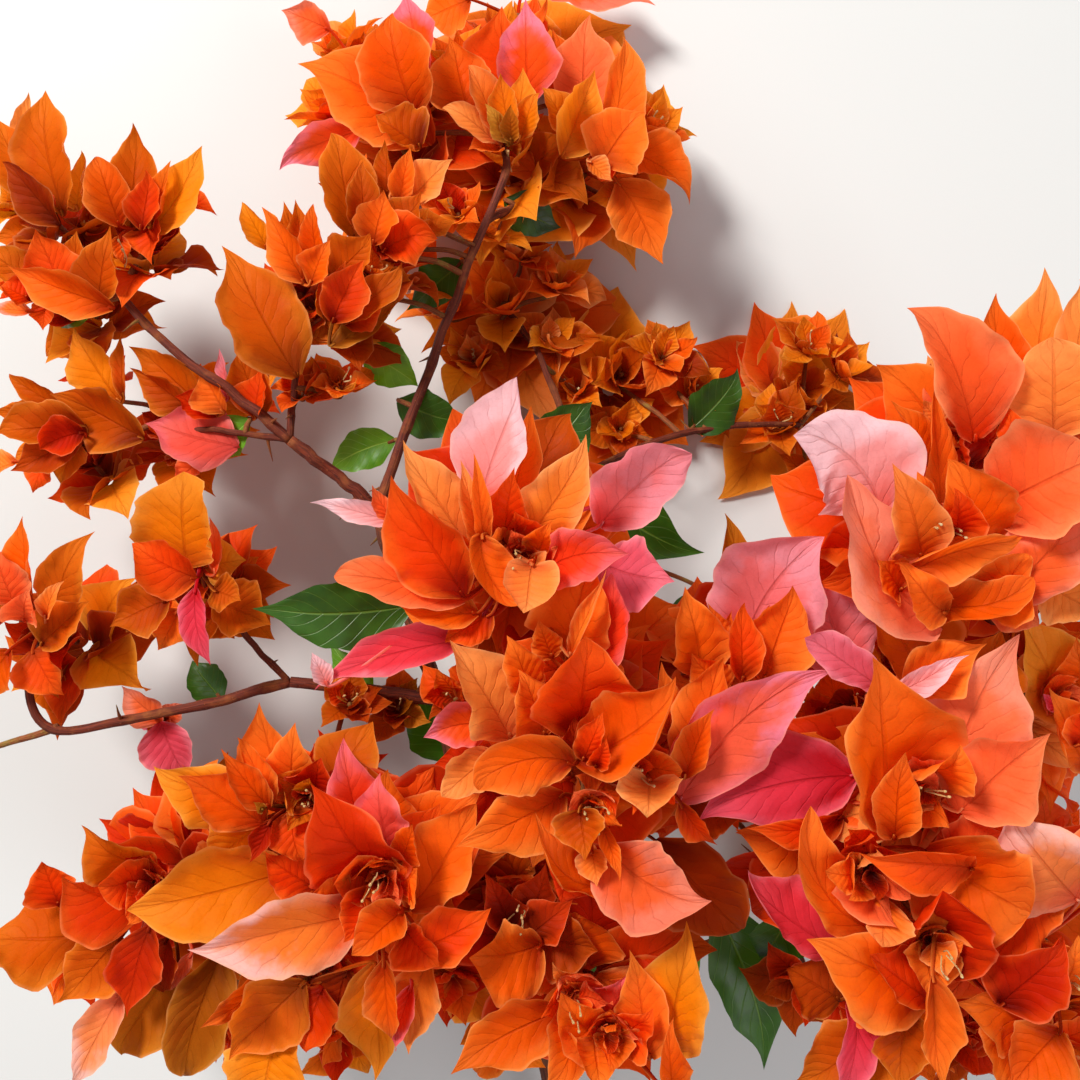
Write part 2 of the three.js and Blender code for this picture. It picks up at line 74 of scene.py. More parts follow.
# ------------------------------------------------------------------ blooms and limbs
# name, across, down, height, heart radius in mm, way it faces, reach of the rim in mm, palette
BLOOMS = [
    ("bloom_center_top", 505, 555, 205, 20.4, (-.05, -.10, 1), 34, "front"),
    ("bloom_center", 600, 690, 208, 18, (.1, .15, 1), 30, "front"),
    ("bloom_center_right", 655, 768, 203, 19.2, (.35, .05, 1), 30, "front"),
    ("bloom_center_low", 588, 822, 206, 18, (.05, -.2, 1), 28, "front"),
    ("bloom_upright_right", 738, 636, 186, 15.6, (.15, .5, .8), 27, "front"),
    ("bloom_right_upper", 950, 552, 214, 20.4, (-.1, -.15, 1), 32, "right"),
    ("bloom_right_top", 985, 415, 200, 19.2, (-.05, .3, 1), 32, "right"),
    ("bloom_right_outer", 1135, 480, 176, 19.2, (.5, .1, .85), 47, "right"),
    ("bloom_low_right_a", 868, 872, 212, 20.4, (-.1, -.05, 1), 32, "front"),
    ("bloom_low_right_b", 938, 788, 218, 16.8, (0, .2, 1), 30, "right"),
    ("bloom_low_right_c", 950, 950, 214, 18, (-.05, -.25, 1), 32, "front"),
    ("bloom_low_right_d", 1065, 955, 206, 18, (.2, -.1, 1), 36, "right"),
    ("bloom_right_edge", 1082, 706, 180, 16.8, (.45, .2, .85), 33, "right"),
    ("bloom_low_left_a", 362, 900, 203, 20.4, (-.1, -.05, 1), 31, "front"),
    ("bloom_low_left_b", 280, 802, 180, 16.8, (-.25, .4, .9), 28, "left"),
    ("bloom_far_left_low", 130, 898, 165, 18, (-.35, -.05, .9), 34, "left"),
    ("bloom_bottom", 600, 1022, 196, 19.2, (.05, -.1, 1), 33, "front"),
    ("bloom_bottom_inner", 512, 925, 176, 16.8, (-.1, -.1, 1), 27, "left"),
    ("bloom_bottom_left", 285, 1018, 168, 16.8, (-.2, -.35, .9), 30, "left"),
    ("bloom_left_top_a", 30, 168, 116, 14.4, (-.1, .75, .6), 26, "mid"),
    ("bloom_left_top_b", 146, 198, 116, 15.6, (.15, .75, .6), 26, "mid"),
    ("bloom_left_top_c", 58, 268, 116, 15.6, (-.2, .5, .8), 26, "mid"),
    ("bloom_left_mid_a", 284, 248, 128, 14.4, (-.2, .7, .65), 24, "mid"),
    ("bloom_left_mid_b", 346, 280, 126, 13.2, (.2, .6, .7), 22, "mid"),
    ("bloom_left_mid_c", 386, 208, 116, 15.6, (.1, .75, .6), 27, "mid"),
    ("bloom_left_low_a", 62, 428, 104, 15.6, (-.3, .6, .7), 27, "mid"),
    ("bloom_left_low_b", 168, 398, 104, 15.6, (.0, .6, .75), 26, "mid"),
    ("bloom_left_inner", 188, 552, 136, 15.6, (-.15, .5, .8), 27, "mid"),
    ("bloom_far_left", 22, 615, 122, 18, (-.3, .4, .85), 33, "mid"),
    ("bloom_top_a", 372, 92, 74, 18.7, (-.35, .55, .75), 38, "back"),
    ("bloom_top_b", 498, 112, 84, 18.7, (-.05, .5, .85), 36, "back"),
    ("bloom_top_c", 618, 132, 76, 18.7, (.45, .35, .8), 36, "back"),
    ("bloom_top_d", 520, -14, 25, 22, (.05, .8, .55), 52, "back"),
    ("bloom_back_a", 500, 292, 52, 19.8, (-.1, .3, .95), 40, "back_painted_light"),
    ("bloom_back_b", 628, 366, 40, 19.8, (.2, .2, .95), 40, "back_amber"),
    ("bloom_back_c", 812, 385, 25, 22, (.3, .1, .9), 38, "back_amber"),
    ("bloom_under_left", 165, 885, 24, 22, (-.6, -.2, .6), 42, "back"),
    ("bloom_under_right", 900, 875, 24, 23.1, (.6, -.2, .6), 44, "back"),
]

# name, nodes along the limb, radius at base and tip in mm, bloom it enters
LIMBS = [
    ("main_stem_lower", [(566, 1235, 4.2), (556, 1110, 24), (520, 960, 52)], 3.6, 3.3, None),
    ("main_stem_middle", [(520, 960, 52), (470, 820, 78), (440, 700, 98)], 3.3, 3.0, None),
    ("main_stem_upper", [(440, 700, 98), (405, 600, 102), (378, 512, 104)], 2.9, 2.5, None),
    ("bough_left", [(378, 512, 104), (335, 474, 108), (290, 440, 112)], 2.3, 2.0, None),
    ("bough_left_tip", [(290, 440, 112), (230, 390, 114), (170, 347, 114), (121, 297, 112)], 1.9, 1.4, None),
    ("branch_left_fork", [(290, 440, 112), (292, 405, 112), (298, 372, 112), (308, 330, 114)], 1.3, 1.0, None),
    ("branch_left_low", [(290, 440, 112), (240, 432, 108), (188, 428, 104)], 1.2, 0.9, "bloom_left_low_b"),
    ("bough_top", [(378, 512, 104), (408, 425, 98), (440, 340, 94), (466, 268, 90), (505, 172, 84)], 1.9, 1.35, "bloom_top_b"),
    ("bough_lower_left", [(440, 700, 98), (360, 690, 104), (290, 682, 110)], 2.3, 1.9, None),
    ("bough_lower_left_tip", [(290, 682, 110), (210, 702, 112), (134, 718, 112), (50, 728, 112), (28, 690, 114)], 1.9, 1.3, "bloom_far_left"),
    ("branch_inner_left", [(289, 682, 110), (250, 640, 118), (219, 590, 126)], 1.2, 0.9, "bloom_left_inner"),
    ("bough_right", [(484, 860, 70), (620, 864, 96), (740, 880, 122), (880, 925, 158)], 2.9, 2.1, "bloom_low_right_c"),
    ("branch_right_upper", [(740, 880, 122), (890, 770, 132), (995, 655, 150)], 2.0, 1.5, "bloom_right_upper"),
    ("bough_bottom_left", [(520, 960, 52), (450, 940, 90), (395, 915, 140)], 2.4, 1.8, "bloom_low_left_a"),
    ("branch_far_left", [(450, 940, 90), (320, 935, 62), (215, 912, 84)], 1.7, 1.2, "bloom_far_left_low"),
    ("branch_bottom", [(530, 985, 46), (560, 1000, 100), (590, 1015, 145)], 2.0, 1.5, "bloom_bottom"),
    ("branch_center", [(452, 760, 88), (500, 745, 130), (570, 715, 172)], 2.2, 1.6, "bloom_center"),
    ("bough_back", [(425, 655, 101), (520, 560, 84), (570, 480, 66)], 2.0, 1.6, None),
    ("branch_back_left", [(570, 480, 66), (560, 410, 56), (530, 340, 44)], 1.5, 1.1, "bloom_back_a"),
    ("branch_back_right", [(570, 480, 66), (660, 440, 48), (745, 425, 34), (800, 425, 26)], 1.5, 1.1, None),
    ("branch_top_far", [(488, 220, 86), (530, 190, 60), (525, 90, 36)], 1.4, 1.1, "bloom_top_d"),
    ("branch_under_right", [(530, 985, 48), (640, 960, 36), (780, 920, 26)], 1.8, 1.3, "bloom_under_right"),
]
CENTRE = {b[0]: at(*b[1:4]) for b in BLOOMS}
AXIS = {b[0]: unit(b[5]) for b in BLOOMS}
HEART = {b[0]: b[4] / 1000 for b in BLOOMS}

# ------------------------------------------------------------------ materials


class Nodes:
    """Small helper round one material's node tree."""

    def __init__(self, name):
        self.material = bpy.data.materials.new(name)
        self.material.use_nodes = True
        self.tree = self.material.node_tree
        self.tree.nodes.clear()
        self.out = self.node("ShaderNodeOutputMaterial")

    def node(self, kind, **props):
        n = self.tree.nodes.new(kind)
        for key, value in props.items():
            setattr(n, key, value)
        return n

    def put(self, socket, value):
        if value is None:
            return
        if isinstance(value, bpy.types.NodeSocket):
            self.tree.links.new(value, socket)
        else:
            socket.default_value = value

    def math(self, op, a, b=None, c=None, clamp=False):
        n = self.node("ShaderNodeMath", operation=op, use_clamp=clamp)
        for i, v in enumerate((a, b, c)):
            if v is not None:
                self.put(n.inputs[i], v)
        return n.outputs[0]

    def smooth(self, x, lo, hi, to0=0.0, to1=1.0):
        n = self.node("ShaderNodeMapRange", interpolation_type="SMOOTHSTEP")
        for key, v in (("Value", x), ("From Min", lo), ("From Max", hi), ("To Min", to0), ("To Max", to1)):
            self.put(n.inputs[key], v)
        return n.outputs["Result"]

    def mix(self, fac, a, b, blend="MIX"):
        n = self.node("ShaderNodeMix", data_type="RGBA", blend_type=blend)
        self.put(n.inputs["Factor"], fac)
        self.put(n.inputs[6], a)
        self.put(n.inputs[7], b)
        return n.outputs[2]

    def noise(self, vector, scale, detail=3.0, rough=0.55):
        n = self.node("ShaderNodeTexNoise")
        self.put(n.inputs["Vector"], vector)
        self.put(n.inputs["Scale"], scale)
        self.put(n.inputs["Detail"], detail)
        self.put(n.inputs["Roughness"], rough)
        return n.outputs["Fac"]


def bract_material(name, throat, body, edge, through, blush=None, blush_from=0.45, shine=0.56, glow=0.42, speck=0.42,
                   throat_to=0.36):
    """A papery bract: throat colour at its foot, partly painted shade of the throat, body colour, a paler margin with a
    painted highlight along its thin edge, a dark midrib, feathered side veins and a fine net between them. blush is a
    second colour towards the tip and rim."""
    k = Nodes(name)
    uv = k.node("ShaderNodeUVMap", uv_map="UVMap")
    split = k.node("ShaderNodeSeparateXYZ")
    k.put(split.inputs[0], uv.outputs[0])
    u, v = split.outputs[0], split.outputs[1]
    tint = k.node("ShaderNodeAttribute", attribute_name="tint").outputs["Fac"]
    side = k.math("SUBTRACT", u, 0.5)
    s = k.math("MULTIPLY", k.math("ABSOLUTE", side), 2.0)
    where = k.node("ShaderNodeTexCoord").outputs["Object"]
    moved = k.node("ShaderNodeVectorMath", operation="ADD")
    k.put(moved.inputs[0], where)
    offset = k.node("ShaderNodeCombineXYZ")
    k.put(offset.inputs[0], k.math("MULTIPLY", tint, 3.1))
    k.put(offset.inputs[1], k.math("MULTIPLY", tint, 1.7))
    k.put(moved.inputs[1], offset.outputs[0])
    cloud = k.noise(moved.outputs[0], 85.0, 3.0, 0.6)
    grain = k.noise(moved.outputs[0], 900.0, 1.0, 0.6)

    # foot to body, then body to the rim; the darker throat colour at the foot is partly painted shade of the bloom's
    # throat
    colour = k.mix(k.smooth(k.math("ADD", v, k.math("MULTIPLY", k.math("SUBTRACT", cloud, 0.5), 0.25)), 0.02, throat_to), throat, body)
    rim = k.smooth(k.math("ADD", s, k.math("MULTIPLY", k.math("SUBTRACT", cloud, 0.5), 0.7)), 0.42, 1.12)
    tipward = k.smooth(v, 0.45, 1.05)
    colour = k.mix(k.math("MAXIMUM", k.math("MULTIPLY", rim, 0.75), k.math("MULTIPLY", tipward, 0.55)), colour, edge)
    if blush:
        reach = k.math("ADD", k.math("ADD", k.math("MULTIPLY", v, 0.85), k.math("MULTIPLY", s, 0.30)),
                       k.math("MULTIPLY", k.math("SUBTRACT", cloud, 0.5), 0.9))
        colour = k.mix(k.smooth(reach, blush_from, blush_from + 0.34), colour, blush)
    # each bract is a little lighter or darker, warmer or redder than the next
    colour = k.mix(k.smooth(tint, 0.45, 1.0, 0.0, 0.22), colour, edge)
    colour = k.mix(k.smooth(tint, 0.0, 0.5, 0.30, 0.0), colour, throat)
    # patches and fine specks
    dark = k.mix(1.0, colour, (0.62, 0.50, 0.52, 1.0), "MULTIPLY")
    colour = k.mix(k.smooth(cloud, 0.42, 0.74, 0.0, 0.45 * speck), colour, dark)
    colour = k.mix(k.smooth(grain, 0.52, 0.72, 0.0, 0.34 * speck), colour, dark)

    # veins
    sign = k.math("SIGN", side)
    slow = k.noise(moved.outputs[0], 34.0, 1.0, 0.5)
    bend = k.math("ADD", k.math("MULTIPLY", k.math("SUBTRACT", cloud, 0.5), 1.3), k.math("MULTIPLY", k.math("SUBTRACT", slow, 0.5), 2.4))
    run = k.math("ADD", k.math("SUBTRACT", k.math("MULTIPLY", v, 7.5), k.math("MULTIPLY", k.math("POWER", s, 0.8), 2.3)),
                 k.math("ADD", k.math("MULTIPLY", sign, 0.21), bend))
    lines = k.math("ABSOLUTE", k.math("SUBTRACT", k.math("FRACT", run), 0.5))
    ribs = k.math("MULTIPLY", k.math("MULTIPLY", k.smooth(lines, 0.0, 0.085, 1.0, 0.0), k.smooth(s, 0.70, 0.95, 1.0, 0.0)),
                  k.smooth(cloud, 0.36, 0.60, 0.25, 1.0))
    cell = k.node("ShaderNodeCombineXYZ")
    k.put(cell.inputs[0], k.math("MULTIPLY", k.math("ADD", u, k.math("MULTIPLY", cloud, 0.12)), 13.0))
    k.put(cell.inputs[1], k.math("MULTIPLY", k.math("ADD", v, k.math("MULTIPLY", cloud, 0.10)), 19.0))
    k.put(cell.inputs[2], k.math("MULTIPLY", tint, 40.0))
    net = k.node("ShaderNodeTexVoronoi", feature="DISTANCE_TO_EDGE")
    k.put(net.inputs["Vector"], cell.outputs[0])
    k.put(net.inputs["Scale"], 1.0)
    mesh_ = k.smooth(net.outputs["Distance"], 0.0, 0.07, 1.0, 0.0)
    midrib = k.math("MULTIPLY", k.smooth(s, 0.012, 0.05, 1.0, 0.0), k.smooth(v, 0.80, 0.98, 1.0, 0.0))
    vein = k.mix(1.0, colour, (0.70, 0.42, 0.34, 1.0), "MULTIPLY")
    colour = k.mix(k.math("MULTIPLY", ribs, 0.15), colour, vein)
    colour = k.mix(k.math("MULTIPLY", mesh_, 0.12), colour, vein)
    colour = k.mix(k.math("MULTIPLY", midrib, 0.36), colour, vein)
    # the very edge is painted paler: a painted highlight where light comes through the thin margin
    painted_rim_light = k.smooth(s, 0.90, 0.995)
    pale = k.mix(0.35, edge, (1.0, 0.56, 0.26, 1.0))
    colour = k.mix(k.math("MULTIPLY", painted_rim_light, 0.55), colour, pale)

    relief = k.math("ADD", k.math("MULTIPLY", ribs, -0.36),
                    k.math("ADD", k.math("MULTIPLY", midrib, -1.0),
                           k.math("ADD", k.math("MULTIPLY", cloud, 0.5), k.math("MULTIPLY", lines, 0.7))))
    bump = k.node("ShaderNodeBump")
    k.put(bump.inputs["Strength"], 0.55)
    k.put(bump.inputs["Distance"], 0.0008)
    k.put(bump.inputs["Height"], relief)

    body_shader = k.node("ShaderNodeBsdfPrincipled")
    k.put(body_shader.inputs["Base Color"], colour)
    k.put(body_shader.inputs["Roughness"], k.smooth(cloud, 0.2, 0.8, shine - 0.08, shine + 0.12))
    body_shader.inputs["Specular IOR Level"].default_value = 0.07
    k.put(body_shader.inputs["Normal"], bump.outputs[0])
    lit = k.node("ShaderNodeBsdfTranslucent")
    k.put(lit.inputs["Color"], k.mix(0.55, colour, through, "MIX"))
    k.put(lit.inputs["Normal"], bump.outputs[0])
    both = k.node("ShaderNodeMixShader")
    both.inputs[0].default_value = glow
    k.put(both.inputs[1], body_shader.outputs[0])
    k.put(both.inputs[2], lit.outputs[0])
    k.put(k.out.inputs[0], both.outputs[0])
    return k.material


C = lin
BRACTS = {
    "red_orange": bract_material("bract_red_orange", C("8A1400"), C("F04002"), C("FF7A24"), C("FF4200")),
    "orange": bract_material("bract_orange", C("A82600"), C("FC6204"), C("FF9438"), C("FF6A00")),
    "amber": bract_material("bract_amber", C("B84404"), C("F88408"), C("FFAC3E"), C("FF9004")),
    "light_orange": bract_material("bract_light_orange", C("D04204"), C("FF8428"), C("FFB46A"), C("FF8820")),
    # rust: a dull brown orange, used for dull brown bracts and as painted shade on bracts that lie in shadow
    "rust_and_shade": bract_material("bract_rust_and_shade", C("5C1400"), C("A83404"), C("CC5C10"), C("D04000")),
    "burnt": bract_material("bract_burnt", C("6E1C00"), C("CE5204"), C("F08A24"), C("F06800")),
    "ember": bract_material("bract_ember", C("5E0A00"), C("C42202"), C("EE4C0C"), C("F02800")),
    # deep: dark almost to its tip, painted shade for bracts that sit deep in a throat
    "deep": bract_material("bract_deep_painted_shade", C("2C0200"), C("941400"), C("E84A0C"), C("C01800"), throat_to=0.8, glow=0.25),
    "coral": bract_material("bract_coral", C("DC3404"), C("FF6228"), C("FF9A62"), C("FF6024")),
    "coral_pink": bract_material("bract_coral_pink", C("E03A04"), C("FF6C30"), C("FFA482"), C("FF7040"), blush=C("FF9A7C"), blush_from=0.46),
    "red_pink": bract_material("bract_red_pink", C("C81C04"), C("F44018"), C("FC8C88"), C("FF4428"), blush=C("F66C74"), blush_from=0.60),
    "orange_pink": bract_material("bract_orange_pink", C("DC3804"), C("FC5A14"), C("FC8890"), C("FF6030"), blush=C("FA90A8"), blush_from=0.54),
    "peach": bract_material("bract_peach", C("D83C04"), C("FF822C"), C("FFBC98"), C("FF8C44"), blush=C("FFC6BC"), blush_from=0.55),
    "pink_pale": bract_material("bract_pink_pale", C("F46450"), C("FFA6A4"), C("FFDADE"), C("FFA4A8"), blush=C("FFD4DA"), blush_from=0.42),
    "pink": bract_material("bract_pink", C("DC3C38"), C("F67E80"), C("FFB8C4"), C("FF7478"), blush=C("FCAAB8"), blush_from=0.45),
    "magenta": bract_material("bract_magenta", C("C41420"), C("EE3E52"), C("FC7C92"), C("FF3C50")),
    "rose": bract_material("bract_rose", C("C8242C"), C("EA5568"), C("F898A8"), C("FF5468")),
    "crimson": bract_material("bract_crimson", C("AC0814"), C("E4202E"), C("F66C7C"), C("FF2A30"), blush=C("FA94A0"), blush_from=0.75),
    "olive": bract_material("bract_olive", C("6A2E04"), C("AC5608"), C("D48424"), C("D07410")),
    "young": bract_material("bract_young", C("7C4A10"), C("C48420"), C("ECB04A"), C("E0A028")),
}
BRACT_ORDER = list(BRACTS)
# The darker palettes stand for painted shade: 'heart' in throats, 'shade' and 'shade_mid' in the low skirts and the
# seeded blooms between and under the others, and the ember share of 'left' in the gaps low on the left.
PALETTES = {
    "front": [("red_orange", .40), ("orange", .38), ("light_orange", .10), ("coral", .12)],
    "right": [("red_orange", .28), ("orange", .40), ("light_orange", .16), ("coral", .16)],
    "left": [("red_orange", .30), ("orange", .22), ("burnt", .22), ("amber", .10), ("ember", .16)],
    "mid": [("burnt", .42), ("orange", .22), ("red_orange", .18), ("amber", .14), ("ember", .04)],
    "back": [("orange", .36), ("amber", .30), ("burnt", .20), ("red_orange", .10), ("light_orange", .04)],
    "heart": [("deep", .62), ("red_orange", .22), ("ember", .16)],
    "shade": [("ember", .34), ("red_orange", .32), ("rust_and_shade", .18), ("orange", .16)],
    "shade_mid": [("rust_and_shade", .36), ("burnt", .30), ("red_orange", .20), ("amber", .14)],
    # lighter bracts for the back blooms that lie in the front blooms' shadow: painted light
    "back_painted_light": [("orange", .34), ("amber", .30), ("light_orange", .24), ("burnt", .12)],
    "back_amber": [("amber", .40), ("burnt", .32), ("orange", .16), ("rust_and_shade", .12)],
    "dim_pink": [("rose", .50), ("coral_pink", .30), ("rust_and_shade", .20)],
    "dull": [("rust_and_shade", .52), ("ember", .22), ("olive", .26)],
}


def bark_material(name, dark, mid, light, scale):
    k = Nodes(name)
    where = k.node("ShaderNodeTexCoord").outputs["Object"]
    uv = k.node("ShaderNodeUVMap", uv_map="UVMap")
    split = k.node("ShaderNodeSeparateXYZ")
    k.put(split.inputs[0], uv.outputs[0])
    streak = k.node("ShaderNodeCombineXYZ")
    k.put(streak.inputs[0], k.math("MULTIPLY", split.outputs[0], 16.0))
    k.put(streak.inputs[1], k.math("MULTIPLY", split.outputs[1], 5.0))
    fibre = k.noise(streak.outputs[0], 1.6, 5.0, 0.62)
    cloud = k.noise(where, scale, 4.0, 0.6)
    pores = k.node("ShaderNodeTexVoronoi")
    k.put(pores.inputs["Vector"], where)
    k.put(pores.inputs["Scale"], 620.0)
    dots = k.smooth(pores.outputs["Distance"], 0.10, 0.24, 1.0, 0.0)
    colour = k.mix(k.smooth(fibre, 0.3, 0.7), dark, mid)
    colour = k.mix(k.smooth(cloud, 0.48, 0.76, 0.0, 0.65), colour, light)
    colour = k.mix(k.math("MULTIPLY", dots, 0.4), colour, light)
    bump = k.node("ShaderNodeBump")
    k.put(bump.inputs["Strength"], 0.7)
    k.put(bump.inputs["Distance"], 0.0008)
    k.put(bump.inputs["Height"], k.math("ADD", fibre, k.math("MULTIPLY", dots, 0.4)))
    shader = k.node("ShaderNodeBsdfPrincipled")
    k.put(shader.inputs["Base Color"], colour)
    k.put(shader.inputs["Roughness"], k.smooth(cloud, 0.2, 0.8, 0.55, 0.85))
    shader.inputs["Specular IOR Level"].default_value = 0.3
    k.put(shader.inputs["Normal"], bump.outputs[0])
    k.put(k.out.inputs[0], shader.outputs[0])
    return k.material


BARK = bark_material("bark_woody", C("3A180C"), C("7C3A1C"), C("A46C44"), 70.0)
BARK_YOUNG = bark_material("bark_young", C("401008"), C("7C3016"), C("A05C2E"), 110.0)
STALK = bark_material("stalk_green_red", C("6A2A14"), C("9C5A2C"), C("8A8A3A"), 160.0)


def leaf_material(name, deep, body, rib, through):
    k = Nodes(name)
    uv = k.node("ShaderNodeUVMap", uv_map="UVMap")
    split = k.node("ShaderNodeSeparateXYZ")
    k.put(split.inputs[0], uv.outputs[0])
    u, v = split.outputs[0], split.outputs[1]
    side = k.math("SUBTRACT", u, 0.5)
    s = k.math("MULTIPLY", k.math("ABSOLUTE", side), 2.0)
    where = k.node("ShaderNodeTexCoord").outputs["Object"]
    cloud = k.noise(where, 70.0, 4.0, 0.6)
    run = k.math("SUBTRACT", k.math("MULTIPLY", v, 8.0), k.math("MULTIPLY", s, 2.2))
    lines = k.math("ABSOLUTE", k.math("SUBTRACT", k.math("FRACT", run), 0.5))
    ribs = k.smooth(lines, 0.0, 0.06, 1.0, 0.0)
    midrib = k.smooth(s, 0.012, 0.055, 1.0, 0.0)
    colour = k.mix(k.smooth(cloud, 0.3, 0.7), deep, body)
    colour = k.mix(k.math("MULTIPLY", ribs, 0.35), colour, rib)
    colour = k.mix(k.math("MULTIPLY", midrib, 0.7), colour, rib)
    bump = k.node("ShaderNodeBump")
    k.put(bump.inputs["Strength"], 0.5)
    k.put(bump.inputs["Distance"], 0.0006)
    k.put(bump.inputs["Height"], k.math("ADD", k.math("MULTIPLY", ribs, -0.5), k.math("MULTIPLY", midrib, -1.0)))
    shader = k.node("ShaderNodeBsdfPrincipled")
    k.put(shader.inputs["Base Color"], colour)
    k.put(shader.inputs["Roughness"], k.smooth(cloud, 0.2, 0.8, 0.34, 0.52))
    k.put(shader.inputs["Normal"], bump.outputs[0])
    lit = k.node("ShaderNodeBsdfTranslucent")
    k.put(lit.inputs["Color"], through)
    both = k.node("ShaderNodeMixShader")
    both.inputs[0].default_value = 0.25
    k.put(both.inputs[1], shader.outputs[0])
    k.put(both.inputs[2], lit.outputs[0])
    k.put(k.out.inputs[0], both.outputs[0])
    return k.material


LEAF_DARK = leaf_material("leaf_dark", C("16340A"), C("32600E"), C("6A8A2E"), C("58900E"))
LEAF_BRIGHT = leaf_material("leaf_bright", C("3C7410"), C("6CA61C"), C("A0C850"), C("98D020"))
THREAD = bark_material("filament_pale", C("C08A40"), C("F0D090"), C("FAE8B8"), 200.0)

# ------------------------------------------------------------------ bract geometry
OUT_T = np.array([0, .04, .12, .24, .38, .52, .66, .78, .88, .95, 1.0])
OUT_W = np.array([.14, .34, .66, .92, 1.0, .92, .69, .405, .175, .066, 0.0])
ROUND_W = np.array([.22, .44, .72, .92, 1.0, .99, .93, .80, .60, .38, 0.0])


def outline(t, wide_at=0.0, sharp=0.0):
    """Half-width along a bract, 1 at its widest. sharp above 0 draws the tip out, below 0 rounds it."""
    t2 = np.clip(t + wide_at * np.sin(np.pi * t), 0, 1)
    w = np.interp(t2, OUT_T, OUT_W)
    if sharp < 0:
        w = w * (1 + sharp) - sharp * np.interp(t2, OUT_T, ROUND_W)
    w[1:-1] = np.convolve(w, np.ones(3) / 3, "same")[1:-1]
    return w * (1 - max(0.0, sharp) * np.clip((t - 0.6) / 0.4, 0, 1) * 0.5)


def blade(base, tip, facing, width, bow=0.0, curl=0.0, cup=0.4, cup_tip=None, twist=0.0, lean=0.0,
          wave=0.0, waves=2.0, phase=0.0, crease=0.06, sway=0.0, wide_at=0.0, sharp=0.0, crinkle=1.0, skew=0.0,
          flick=1.0, nt=20, ns=10):
    """One bract or leaf as a grid. facing is the way its upper side looks. bow lifts its middle towards
    facing, curl bends the tip towards facing (negative: away), cup rolls the margins up, in radians.
    crinkle is how uneven its face and margin are, skew makes one half wider, flick turns its very tip."""
    base, tip, facing = (np.asarray(a, float) for a in (base, tip, facing))
    line = tip - base
    length = np.linalg.norm(line)
    d = line / max(length, 1e-9)
    n = unit(facing - facing.dot(d) * d)
    across = np.cross(d, n)
    d0 = unit(d + bow * n + sway * across)
    d1 = unit(d - bow * n - sway * across + curl * n)
    c0, c1 = base + d0 * length * 0.38, tip - d1 * length * 0.36
    t = np.linspace(0, 1, nt + 1)
    q = 1 - t
    path = (q**3)[:, None] * base + (3 * q * q * t)[:, None] * c0 + (3 * q * t * t)[:, None] * c1 + (t**3)[:, None] * tip
    tang = (3 * q * q)[:, None] * (c0 - base) + (6 * q * t)[:, None] * (c1 - c0) + (3 * t * t)[:, None] * (tip - c1)
    tang /= np.maximum(np.linalg.norm(tang, axis=1), 1e-9)[:, None]
    norm = n[None] - (tang @ n)[:, None] * tang
    norm /= np.maximum(np.linalg.norm(norm, axis=1), 1e-9)[:, None]
    side = np.cross(tang, norm)
    turn = lean + twist * t**1.5
    ct, st = np.cos(turn)[:, None], np.sin(turn)[:, None]
    side, norm = side * ct + norm * st, norm * ct - side * st
    g = np.random.default_rng(int(abs(phase) * 7919 + abs(width) * 1e6) % 1000003)
    ph = g.random(10) * 6.283
    end = np.clip((t - 0.80) / 0.20, 0, 1) ** 2 * length * 0.045 * flick
    path = path + end[:, None] * (math.cos(ph[9]) * 1.3 * norm + math.sin(ph[9]) * side)
    half = width / 2 * outline(t, wide_at, sharp)
    s = np.linspace(-1, 1, ns + 1)
    left = s < 0
    roll = cup + ((cup if cup_tip is None else cup_tip) - cup) * t
    roll = np.where(np.abs(roll) < 1e-3, 1e-3, roll)[:, None]
    x = np.sin(roll * s) / roll
    z = (1 - np.cos(roll * s)) / roll
    z = z + crease * np.abs(s) ** 0.8 * np.sign(roll)
    T = t[:, None]
    z = z + wave * s**2 * np.sin(2 * np.pi * waves * T + phase + np.where(left, 1.9, 0.0))
    edge = 1 + crinkle * (0.040 * np.sin(2 * np.pi * 2.3 * T + np.where(left, ph[0], ph[1]))
                          + 0.020 * np.sin(2 * np.pi * 5.3 * T + np.where(left, ph[2], ph[3])))
    edge = 1 + (edge - 1) * np.abs(s) ** 3 * 1.3
    z = z + crinkle * (0.075 * np.sin(2 * np.pi * 1.25 * T + ph[4] + 1.6 * s) * np.abs(s) ** 1.3
                       + 0.040 * np.sin(2 * np.pi * 3.1 * T + ph[5] + 3.2 * s) * s**2
                       + 0.022 * np.sin(2 * np.pi * 6.2 * T + ph[6] + np.where(left, 2.2, 0.0)) * np.abs(s))
    rim = np.clip((np.abs(s) - 0.55) / 0.45, 0, 1) ** 2
    z = z + crinkle * 0.17 * rim * np.sin(2 * np.pi * 0.85 * T + np.where(left, ph[7], ph[8]))
    wide = half[:, None] * (1 + np.where(left, -skew, skew))
    points = path[:, None, :] + (wide * edge)[..., None] * x[..., None] * side[:, None, :] \
        + half[:, None, None] * z[..., None] * norm[:, None, :]
    uv = np.stack(np.broadcast_arrays((s + 1) / 2, T), -1)
    return points, uv


